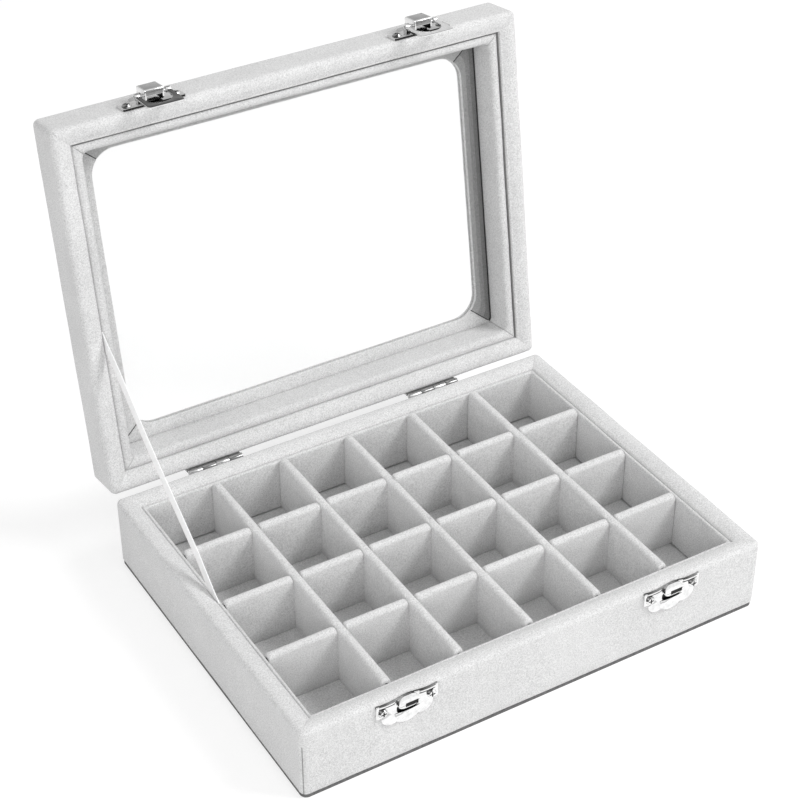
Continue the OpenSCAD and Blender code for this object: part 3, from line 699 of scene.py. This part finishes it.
def panel_profile():
    """Section of the covered card round the window, with a groove beside the lining."""
    z = LID_Z + PANEL_H
    u0 = WALL + LID_LINING
    u1 = u0 + 0.34
    rows = [(WALL, WALL, LEAST_R, z, 0.0), (u0 - 0.5, u0 - 0.5, 2.6, z, 0.0)]
    for u, dz in ((u0 - 0.3, 0.0), (u0 - 0.16, 0.4), (u0 + 0.14, 0.4), (u1, 0.0)):
        rows.append((u, u, 3.0, z + dz, 0.0))
    for i in range(1, 10):
        t = i / 9
        ux = u1 + (WIN_X - 0.5 - u1) * t
        uy = u1 + (WIN_Y - 0.5 - u1) * t
        puff = 0.25 * math.sin(math.pi * min(1.0, t * 1.02))
        rows.append((ux, uy, 3.0 + (WIN_R + 0.5 - 3.0) * t, z - puff, 1.0))
    for turn in (30, 60, 90):
        s = 0.5 * math.sin(math.radians(turn))
        rise = z + 0.5 - 0.5 * math.cos(math.radians(turn))
        rows.append((WIN_X - 0.5 + s, WIN_Y - 0.5 + s, WIN_R + 0.5 - s, rise, 0.5))
    rows.append((WIN_X, WIN_Y, WIN_R, z + PANEL_T, 0.0))
    rows.append((WALL, WALL, LEAST_R, z + PANEL_T, 0.0))
    return rows


def panel_shade(row, side, strip):
    """Painted shade: the right strip darkens in steps towards its groove, the front strip is a
    little darker, and the mitres and grooves are darkest.
    """
    if strip and 5 <= row < 15:
        return 1
    if row in (2, 3, 4):
        return GROOVE_SHADE.get(side, 0)
    if side == "right" and 5 <= row < 14:
        return 3 + (row - 5) // 3
    if side == "front" and 5 <= row < 14:
        return 6
    return 0


panel_mats = [M_LIDLIN, M_CREASE_SHADE, M_FOLD_SHADE] + M_DEEP_SHADE
panel = ring("lid_window_panel_velvet", panel_profile(), panel_mats, 0.45, panel_shade, OPENED)
wobble(panel, amount=0.1, scale=22.0, seed=9.2)
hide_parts("lid_window_panel")
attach(panel, "lid")


# Dividers

LAP = DIV_H / 2
END_R = 1.2
END_STEPS = (0.0, 0.04, 0.14, 0.3, 0.5, 0.75, 1.0, END_R, END_R + 0.25, 2.2)
NOTCH_R = 1.3
FOOT = 0.25
# The raw end: thickness of the cover round the card, and how far cover and card stand back
COVER = 0.75
COVER_BACK = 0.02
CARD_BACK = 0.28


def round_drop(distance, r):
    """Height lost on a rounded corner of radius r, this far in from its end."""
    return r - math.sqrt(max(0.0, r ** 2 - (r - distance) ** 2))


def divider_stations(length, notches, from_top):
    """Places along a divider as (x, low z, high z)."""
    half = length / 2
    cut = (0.0, LAP) if from_top else (LAP, DIV_H)
    edge = (0.0, DIV_H - NOTCH_R if from_top else DIV_H)
    sides = [(c - DIV_T / 2, c + DIV_T / 2) for c in notches]
    near = NOTCH_R + 0.3
    xs = [side * (half - e) for side in (-1, 1) for e in END_STEPS]
    count = int(length / 5)
    xs = sorted(xs + [-half + 4.0 + (length - 8.0) * i / count for i in range(count + 1)])
    events = [(x, "plain") for x in xs if not any(a - near < x < b + near for a, b in sides)]
    for a, b in sides:
        if from_top:
            for d in (NOTCH_R, NOTCH_R * 0.6, NOTCH_R * 0.3, NOTCH_R * 0.1):
                events += [(a - d, "round"), (b + d, "round")]
        events += [(a, "edge_in"), (b, "edge_out"), ((a + b) / 2, "middle")]
    events.sort(key=lambda event: event[0])
    stations = []
    for x, kind in events:
        if kind == "plain":
            e = half - abs(x)
            top = DIV_H if e >= END_R else DIV_H - round_drop(e, END_R)
            stations.append((x, 0.0, top))
        elif kind == "round":
            d = min(min(abs(x - a), abs(x - b)) for a, b in sides)
            stations.append((x, 0.0, DIV_H - round_drop(d, NOTCH_R)))
        elif kind == "edge_in":
            stations += [(x, *edge), (x, *cut)]
        elif kind == "edge_out":
            stations += [(x, *cut), (x, *edge)]
        else:
            stations.append((x, *cut))
    return stations


def divider_loop(x, low, high):
    """Section of a divider: straight sides and a rolled top."""
    t = DIV_T / 2
    r = min(t - 0.05, max(0.2, high - low - 0.4))
    foot = low + FOOT
    rise = high - r - low - FOOT
    pts = [(x, -t + FOOT, low), (x, -t, foot)]
    pts += [(x, -t, foot + rise * i / 4) for i in range(1, 5)]
    for i in range(1, 8):
        a = math.radians(180 - 180 * i / 8)
        pts.append((x, t * math.cos(a), high - r + r * math.sin(a)))
    pts += [(x, t, foot + rise * i / 4) for i in range(4, 0, -1)]
    pts += [(x, t, foot), (x, t - FOOT, low)]
    return pts


def seed_of(name):
    """A fixed number for each divider, so that no two have the same waves."""
    return sum(ord(c) * (i + 3) for i, c in enumerate(name)) % 97 * 0.37


def divider(name, node, length, matrix, notches, from_top):
    """Covered card strip along X with a rolled top, half-lap notches and raw ends."""
    stations = divider_stations(length, notches, from_top)
    loops = [divider_loop(*station) for station in stations]
    n = len(loops[0])
    verts = [p for points in loops for p in points]
    faces = []
    mats = []
    for i in range(len(loops) - 1):
        for k in range(n):
            after = (k + 1) % n
            faces.append((i * n + k, i * n + after, (i + 1) * n + after, (i + 1) * n + k))
            mats.append(0)
    narrow = (DIV_T / 2 - COVER) / (DIV_T / 2)
    for side, i in ((-1, 0), (1, len(loops) - 1)):
        x, low, high = stations[i]
        middle = (low + high) / 2
        half_h = (high - low) / 2
        cover_rim = []
        card_end = []
        for _, y, z in loops[i]:
            inner_z = middle + (z - middle) * (half_h - COVER) / half_h
            cover_rim.append((x - side * COVER_BACK, y * narrow, inner_z))
            card_end.append((x - side * CARD_BACK, y * narrow * 0.94, inner_z))
        a0 = len(verts)
        b0 = a0 + n
        verts += cover_rim + card_end
        for k in range(n):
            after = (k + 1) % n
            faces.append((i * n + k, i * n + after, a0 + after, a0 + k))
            mats.append(0)
            faces.append((a0 + k, a0 + after, b0 + after, b0 + k))
            mats.append(1)
        faces.append(tuple(b0 + k for k in range(n)))
        mats.append(1)
    piece = make_object(name, verts, faces, [M_DIV, M_CORE], matrix, mats)
    wobble(piece, amount=0.12, scale=24.0, seed=seed_of(name))
    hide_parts(node)
    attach(piece, "divider_grid")


cell_w = CAV_W / 6
cell_d = CAV_D / 4
long_notches = [-CAV_W / 2 + i * cell_w for i in range(1, 6)]
cross_notches = [-CAV_D / 2 + i * cell_d for i in range(1, 4)]
for k in (1, 2, 3):
    node = f"divider_long_{k}"
    place = Matrix.Translation((0, -CAV_D / 2 + k * cell_d, FLOOR_Z))
    divider(f"{node}_velvet", node, CAV_W - 2 * CLEAR, place, long_notches, True)
for k in range(1, 6):
    node = f"divider_cross_{k}"
    place = Matrix.Translation((-CAV_W / 2 + k * cell_w, 0, FLOOR_Z))
    place = place @ Matrix.Rotation(math.radians(90), 4, "Z")
    divider(f"{node}_velvet", node, CAV_D - 2 * CLEAR, place, cross_notches, False)


# Ribbon

RIBBON_HALF = 2.85
RIBBON_STEPS = 90
# Length at each end that is tucked in, and the length over which the strip comes free
RIBBON_TUCK = 6.0
RIBBON_EASE = 14.0
# Places across the ribbon, as a share of its half width, with half its thickness there
RIBBON_EDGES = (
    (-1, 0.14), (-0.93, 0.19), (-0.5, 0.13), (0, 0.14), (0.5, 0.13), (0.93, 0.19), (1, 0.14),
)


def ribbon():
    """Taut satin strip from the left wall of the tray to the left wall of the lid."""
    x0 = -W / 2 + WALL + 0.2
    p0 = Vector((x0, RIBBON_BASE - D / 2, BASE_H))
    lid_end = OPENED @ Vector((x0, D / 2 - RIBBON_LID, LID_Z))
    p1 = Vector((x0, lid_end.y, lid_end.z))
    along = (p1 - p0).normalized()
    across = Vector((0, -along.z, along.y))
    length = (p1 - p0).length + 2 * RIBBON_TUCK
    start = p0 - along * RIBBON_TUCK
    cols = [(RIBBON_HALF * share, thick) for share, thick in RIBBON_EDGES]
    verts = []
    faces = []
    for i in range(RIBBON_STEPS + 1):
        s = i / RIBBON_STEPS
        from_start = (s * length - RIBBON_TUCK) / RIBBON_EASE
        from_end = (length - RIBBON_TUCK - s * length) / RIBBON_EASE
        free = max(0.0, min(1.0, from_start, from_end))
        centre = start + along * (length * s)
        bow = 0.25 * free * math.sin(7.0 * s + 0.6)
        for side in (1, -1):
            for w, thick in cols if side == 1 else cols[::-1]:
                curl = 0.12 * free * (w / RIBBON_HALF) ** 2
                verts.append(centre + across * w + Vector((side * thick + bow + curl, 0, 0)))
    m = 2 * len(cols)
    for i in range(RIBBON_STEPS):
        for k in range(m):
            after = (k + 1) % m
            faces.append((i * m + k, i * m + after, (i + 1) * m + after, (i + 1) * m + k))
    faces.append(tuple(range(m)))
    faces.append(tuple(RIBBON_STEPS * m + k for k in range(m - 1, -1, -1)))
    piece = make_object("lid_stay_ribbon_satin", verts, faces, [M_SATIN])
    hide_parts("lid_stay_ribbon")
    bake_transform(piece)


ribbon()


# Metal fittings

METAL_SHARP = math.radians(38)
EASED_ANGLE = math.radians(32)


def ease_edges(bm, width):
    """Bevels the sharp edges and splits the faces with many corners."""
    sharp = []
    for edge in bm.edges:
        if len(edge.link_faces) == 2 and edge.calc_face_angle(0.0) > EASED_ANGLE:
            sharp.append(edge)
    bmesh.ops.bevel(bm, geom=sharp, offset=width * MM, offset_type="OFFSET", segments=2,
                    profile=0.6, affect="EDGES", clamp_overlap=True)
    bmesh.ops.triangulate(bm, faces=[f for f in bm.faces if len(f.verts) > 4])


def refined(node, mats, width, body, pick=None, extra=None, shape=None):
    """A copy of a stamped part with its edges eased, in place of the plain solid."""
    source = bpy.data.objects[node]
    mesh = source.data.copy()
    piece = bpy.data.objects.new(node + "_metal", mesh)
    bpy.context.scene.collection.objects.link(piece)
    mesh.transform(source.matrix_world)
    mesh.materials.clear()
    for mat in mats:
        mesh.materials.append(mat)
    if mesh.has_custom_normals:
        mesh.attributes.remove(mesh.attributes["custom_normal"])
    bm = bmesh.new()
    bm.from_mesh(mesh)
    bmesh.ops.remove_doubles(bm, verts=bm.verts, dist=1e-6)
    bmesh.ops.dissolve_limit(bm, angle_limit=math.radians(1.0), verts=bm.verts, edges=bm.edges)
    if shape:
        shape(bm)
    ease_edges(bm, width)
    bm.normal_update()
    for face in bm.faces:
        face.smooth = True
        face.material_index = pick(face.calc_center_median() / MM, face.normal) if pick else 0
    if extra:
        extra(bm)
    bm.to_mesh(mesh)
    bm.free()
    mesh.set_sharp_from_angle(angle=METAL_SHARP)
    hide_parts(node)
    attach(piece, body)


def add_block(bm, lo, hi, index):
    """Small closed block in a metal piece, between two corners in millimetres."""
    corners = [(x, y, z) for x in (lo[0], hi[0]) for y in (lo[1], hi[1]) for z in (lo[2], hi[2])]
    verts = [bm.verts.new(Vector(corner) * MM) for corner in corners]
    quads = ((0, 1, 3, 2), (4, 6, 7, 5), (0, 4, 5, 1), (2, 3, 7, 6), (0, 2, 6, 4), (1, 5, 7, 3))
    for quad in quads:
        bm.faces.new([verts[i] for i in quad]).material_index = index


# Index of the dark metal that is painted shade and shadow in the catches and screws
SHADOW = 1

# Places across the tray of the two latches
FITTINGS = {"left": -58.0, "right": 57.1}

# The catch: its slot, its hood and how far both are drawn up
SLOT_LOW = BASE_H - 9.4
SLOT_TOP = BASE_H - 4.2
SLOT_HALF = 4.3
SLOT_LIFT = 1.7
HOOD_UNDER = BASE_H - 6.8
HOOD_BEND = BASE_H - 2.8

# The curved ridge on each wing of the catch
RIDGE_R = 20.0
RIDGE_FROM = 5.0
RIDGE_TO = 11.4
RIDGE_CENTRE = 8.4
RIDGE_STEPS = 12

# The screws of the catches and of the latch plates
SCREW_X = 9.9
SCREW_H = 4.05
CATCH_SCREW_Z = BASE_H - 5.0
DISH_R = 1.7
SLOT_FLOOR = 1.2


def shape_catch(cx):
    """Draws the hood's tongue and the slot's lower edge up to their places in the plate."""
    def shape(bm):
        for v in bm.verts:
            x = v.co.x / MM - cx
            out = -v.co.y / MM - D / 2
            z = v.co.z / MM
            if out > 0.75 and abs(x) < 4.5 and SLOT_LOW + 2.0 < z < HOOD_BEND:
                v.co.z += SLOT_LIFT * (HOOD_BEND - z) / (HOOD_BEND - HOOD_UNDER) * MM
            elif out < 1.4 and abs(x) < 6.1 and SLOT_LOW - 0.1 < z < SLOT_LOW + 1.3:
                v.co.z += SLOT_LIFT * MM
    return shape


def pick_catch(cx):
    """Painted shade inside the slot, apart from the faces to the front."""
    def pick(c, normal):
        across = abs(c.x - cx) < SLOT_HALF + 0.2
        high = SLOT_LOW - 0.1 < c.z < SLOT_TOP + 0.1
        deep = -c.y - D / 2 < 1.75
        return SHADOW if across and high and deep and normal.y > -0.8 else 0
    return pick


def catch_shade_blocks(cx):
    """Adds dark blocks as painted shade: the slot's dark floor, a dark bar on the hood and the
    ridges' second line.
    """
    def extra(bm):
        front = -D / 2
        lo = (cx - SLOT_HALF, front - 0.22, SLOT_LOW + 0.1)
        add_block(bm, lo, (cx + SLOT_HALF, front - 0.06, SLOT_TOP), SHADOW)
        lo = (cx - 1.6, front - 2.46, BASE_H - 4.7)
        add_block(bm, lo, (cx + 3.5, front - 2.3, BASE_H - 3.0), SHADOW)
        for side in (-1, 1):
            line = []
            for i in range(RIDGE_STEPS + 1):
                x = side * (RIDGE_FROM + (RIDGE_TO - RIDGE_FROM) * i / RIDGE_STEPS)
                fall = math.sqrt((RIDGE_R + 1.35) ** 2 - (x - side * RIDGE_CENTRE) ** 2)
                line.append((cx + x, BASE_H - 0.8 + RIDGE_R - 0.7 - fall))
            for (x0, z0), (x1, z1) in zip(line, line[1:]):
                lo = (min(x0, x1), front - 0.8, min(z0, z1) - 0.2)
                add_block(bm, lo, (max(x0, x1), front - 0.6, max(z0, z1) + 0.06), SHADOW)
    return extra


def pick_screw(centres, seen_from_front):
    """Painted shade on the walls and floors of the cross slots."""
    def pick(c, normal):
        p, out, facing = seen_from_front(c, normal)
        r = min((p - centre).length for centre in centres)
        in_cross = abs(facing) < 0.4 or (facing > 0.9 and out < SLOT_FLOOR)
        return SHADOW if r < DISH_R and in_cross else 0
    return pick


def catch_view(c, normal):
    """Place on the tray's front, distance out of it and how far a face looks out."""
    return Vector((c.x, c.z)), -c.y - D / 2, -normal.y


def latch_view(c, normal):
    """The same on the lid's front, in its closed place."""
    return catch_view(CLOSED @ c, CLOSED.to_3x3() @ normal)


# The lever: low and high end along the lid's front, and its back and front out from it
LEVER_H0 = -0.2
LEVER_H1 = 7.8
LEVER_Q0 = 1.2
LEVER_Q1 = 6.2
LEVER_R = 0.9
LEVER_HALF = 3.8
LIP_Q = 3.7
SHEET = 0.6
# Latch material indices: plain metal, a dimmer painted reflection, and painted shade
PLAIN, DIMMED_REFLECTION, PAINTED_SHADE = 0, 1, 2


def prism(bm, outline, x0, x1, mats):
    """Sheet cut to an outline (h, q) beside the lid's front, from x0 to x1."""
    ends = []
    for x in (x0, x1):
        pts = [OPENED @ Vector((x, -D / 2 - q, LID_Z + h)) for h, q in outline]
        ends.append([bm.verts.new(p * MM) for p in pts])
    for end in ends:
        bm.faces.new(end)
    n = len(outline)
    for k in range(n):
        after = (k + 1) % n
        quad = (ends[0][k], ends[0][after], ends[1][after], ends[1][k])
        bm.faces.new(quad).material_index = mats[k]


def lever_bend(inset):
    """The lever's fold from its lip over the top to its back, this far inside the sheet."""
    r = LEVER_R - inset
    pts = [(LEVER_H0 + inset, LIP_Q)]
    for h, first in ((LEVER_H0 + LEVER_R, 180), (LEVER_H1 - LEVER_R, 90)):
        for i in range(6):
            a = math.radians(first - 18 * i)
            pts.append((h + r * math.cos(a), LEVER_Q1 - LEVER_R + r * math.sin(a)))
    pts.append((LEVER_H1 - inset, LEVER_Q0))
    return pts


def lever(side, cx):
    """Folded sheet lever: closed top, short front lip, two cheeks and an open underside. Its
    inside is painted shade, and parts of its top and lip a dimmer painted reflection.
    """
    outer = lever_bend(0.0)
    inner = lever_bend(SHEET)
    bm = bmesh.new()
    # Top and lip faces take a dimmer painted reflection, and the inside painted shade
    mats = [DIMMED_REFLECTION] * 3 + [PLAIN] * 3 + [DIMMED_REFLECTION] + [PLAIN] * 5 + [DIMMED_REFLECTION, PLAIN]
    mats += [PAINTED_SHADE] * (len(inner) - 1) + [PLAIN]
    prism(bm, outer + inner[::-1], cx - LEVER_HALF + 0.3, cx + LEVER_HALF - 0.3, mats)
    cheek = [(LEVER_H0 + 0.15, LEVER_Q0 + 1.1), (LEVER_H0 + 0.12, LIP_Q)] + outer[1:-1]
    cheek += [(LEVER_H1, LEVER_Q0 + 0.4), (LEVER_H1 - 0.5, LEVER_Q0), (LEVER_H0 + 1.4, LEVER_Q0)]
    for x0 in (cx - LEVER_HALF, cx + LEVER_HALF - SHEET):
        prism(bm, cheek, x0, x0 + SHEET, [PLAIN] * len(cheek))
    bmesh.ops.recalc_face_normals(bm, faces=bm.faces)
    # The cheeks' inner faces are painted shade
    for face in bm.faces:
        x = face.calc_center_median().x / MM
        if abs(face.normal.x) > 0.9 and abs(x - cx) < LEVER_HALF - 0.3:
            face.material_index = PAINTED_SHADE
    ease_edges(bm, 0.14)
    mesh = bpy.data.meshes.new(f"latch_lever_{side}_metal")
    bm.to_mesh(mesh)
    bm.free()
    for mat in (M_LATCH, M_MID_REFLECTION, M_METAL_SHADE):
        mesh.materials.append(mat)
    for face in mesh.polygons:
        face.use_smooth = True
    mesh.set_sharp_from_angle(angle=METAL_SHARP)
    piece = bpy.data.objects.new(mesh.name, mesh)
    bpy.context.scene.collection.objects.link(piece)
    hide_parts(f"latch_lever_{side}")
    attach(piece, f"lever_{side}")


def pick_plate(c, normal):
    """Painted shadow on the lower edges, and a dimmer painted reflection on the top part of a
    latch plate's front.
    """
    height = (CLOSED @ c).z - LID_Z
    facing = CLOSED.to_3x3() @ normal
    if facing.z < -0.5:
        return PAINTED_SHADE
    return DIMMED_REFLECTION if facing.y < -0.93 and height > 7.0 else PLAIN


def pick_flat(c, normal):
    """The flat faces of a loop, which take their own tone as a painted reflection."""
    return 1 if abs((CLOSED.to_3x3() @ normal).y) > 0.93 else 0


PLATE_MATS = [M_LATCH, M_MID_REFLECTION, M_METAL_SHADE]
for side, cx in FITTINGS.items():
    refined(f"catch_plate_{side}", [M_CHROME, M_METAL_SHADE], 0.26, "base",
            pick_catch(cx), catch_shade_blocks(cx), shape_catch(cx))
    refined(f"latch_plate_{side}", PLATE_MATS, 0.14, "lid", pick_plate)
    lever(side, cx)
    # Painted reflection on the loops' flat faces: near black on the left, light grey on the right
    flat = M_LOOP_DARK_REFLECTION if side == "left" else M_LOOP
    refined(f"latch_loop_{side}", [M_LATCH, flat], 0.12, f"loop_{side}", pick_flat)
    refined(f"hinge_base_leaf_{side}", [M_HINGE], 0.12, "base")
    refined(f"hinge_lid_leaf_{side}", [M_HINGE_LID], 0.12, "lid")

screw_xs = [cx + k * SCREW_X for cx in FITTINGS.values() for k in (-1, 1)]
screw_mats = [M_SCREW, M_METAL_SHADE]
pick_cross = pick_screw([Vector((x, CATCH_SCREW_Z)) for x in screw_xs], catch_view)
refined("catch_screws", screw_mats, 0.1, "base", pick_cross)
pick_cross = pick_screw([Vector((x, LID_Z + SCREW_H)) for x in screw_xs], latch_view)
refined("latch_screws", screw_mats, 0.1, "lid", pick_cross)

# Nodes that keep their CAD shape
CARRIED = {
    "lid_glass": M_GLASS,
    "base_bottom_board": M_BOARD,
    "hinge_pin_left": M_HINGE,
    "hinge_pin_right": M_HINGE,
    "base_hinge_screws": M_SCREW,
    "lid_hinge_screws": M_SCREW,
    "lever_pin_left": M_PIN,
    "lever_pin_right": M_PIN,
    "loop_pin_left": M_PIN,
    "loop_pin_right": M_PIN,
}
for node, mat in CARRIED.items():
    carried = bpy.data.objects[node]
    carried.data.materials.clear()
    carried.data.materials.append(mat)


# Stage

FLOOR_HALF = 6.0
FLOOR_GLOW = 0.62
AMBIENT = 0.58
WHITE = (1, 1, 1, 1)


def background_seen(tree, plain, background, target):
    """Shows the background to the camera, in reflections and through glass."""
    rays = add(tree, "ShaderNodeLightPath").outputs
    through = math_node(tree, "MAXIMUM", rays["Is Glossy Ray"], rays["Is Transmission Ray"])
    seen = math_node(tree, "MAXIMUM", rays["Is Camera Ray"], through)
    choice = add(tree, "ShaderNodeMixShader")
    tree.links.new(seen, choice.inputs[0])
    tree.links.new(plain.outputs[0], choice.inputs[1])
    tree.links.new(background.outputs[0], choice.inputs[2])
    tree.links.new(choice.outputs[0], tree.nodes[target].inputs["Surface"])


def stage_floor():
    """Pale floor that keeps the object's shadow."""
    s = FLOOR_HALF
    mesh = bpy.data.meshes.new("floor")
    mesh.from_pydata([(-s, -s, 0), (s, -s, 0), (s, s, 0), (-s, s, 0)], [], [(0, 1, 2, 3)])
    piece = bpy.data.objects.new("floor", mesh)
    bpy.context.scene.collection.objects.link(piece)
    piece.location.z = -0.0002
    mat, tree, shader = new_material("stage_floor")
    base_colour = (0.85, 0.85, 0.85, 1)
    set_inputs(shader, {"Base Color": base_colour, "Roughness": 1.0, "Specular IOR Level": 0.0})
    glow = add(tree, "ShaderNodeEmission")
    glow.inputs["Strength"].default_value = FLOOR_GLOW
    dim = add(tree, "ShaderNodeBsdfDiffuse")
    dim.inputs["Color"].default_value = (0.46, 0.46, 0.46, 1)
    both = add(tree, "ShaderNodeAddShader")
    tree.links.new(glow.outputs[0], both.inputs[0])
    tree.links.new(dim.outputs[0], both.inputs[1])
    background_seen(tree, shader, both, "Material Output")
    mesh.materials.append(mat)


def studio_world():
    """Soft light from all round, in front of a white background."""
    world = bpy.data.worlds.new("studio")
    bpy.context.scene.world = world
    world.use_nodes = True
    tree = world.node_tree
    light = tree.nodes["Background"]
    set_inputs(light, {"Color": WHITE, "Strength": AMBIENT})
    white = add(tree, "ShaderNodeBackground")
    set_inputs(white, {"Color": WHITE, "Strength": 1.0})
    background_seen(tree, light, white, "World Output")


def area(name, place, target, size, power):
    """Square soft lamp that looks at a point."""
    light = bpy.data.lights.new(name, "AREA")
    light.shape = "SQUARE"
    light.size = size
    light.energy = power
    lamp = bpy.data.objects.new(name, light)
    bpy.context.scene.collection.objects.link(lamp)
    lamp.location = place
    aim = Vector(target) - Vector(place)
    lamp.rotation_euler = aim.to_track_quat("-Z", "Y").to_euler()


stage_floor()
studio_world()
area("key", (0.75, -0.55, 1.05), (0, 0, 0.03), size=0.55, power=10.6)
area("fill", (-0.9, -0.9, 0.7), (0, 0, 0.05), size=0.9, power=5.8)


# Camera, solved from the straight edges of the tray: angles in degrees, distance in millimetres

AZIMUTH = -30.69
ELEVATION = 35.8
ROLL = -0.28
TARGET = Vector((23.68, 68.12, 30.0))
DISTANCE = 827.3
# Focal length and picture centre in pixels of the 800 pixel picture
PICTURE = 800.0
FOCAL = 1990.09
CENTRE_X = 395.44
CENTRE_Y = 415.92
SENSOR = 36.0


def camera():
    """Makes the scene's camera from its angles, distance and focal length."""
    az, el, roll = map(math.radians, (AZIMUTH, ELEVATION, ROLL))
    back = Vector((math.sin(az) * math.cos(el), -math.cos(az) * math.cos(el), math.sin(el)))
    level_x = Vector((0, 0, 1)).cross(back).normalized()
    level_y = back.cross(level_x)
    right = math.cos(roll) * level_x + math.sin(roll) * level_y
    up = -math.sin(roll) * level_x + math.cos(roll) * level_y
    view = bpy.data.cameras.new("camera")
    view.sensor_width = SENSOR
    view.lens = FOCAL * SENSOR / PICTURE
    view.shift_x = (PICTURE / 2 - CENTRE_X) / PICTURE
    view.shift_y = (CENTRE_Y - PICTURE / 2) / PICTURE
    view.clip_start = 0.05
    view.clip_end = 30.0
    eye = bpy.data.objects.new("camera", view)
    bpy.context.scene.collection.objects.link(eye)
    place = (TARGET + back * DISTANCE) * MM
    rows = [(right[i], up[i], back[i], place[i]) for i in range(3)]
    eye.matrix_world = Matrix((*rows, (0, 0, 0, 1)))
    bpy.context.scene.camera = eye


camera()
bpy.context.scene.view_settings.view_transform = "Standard"
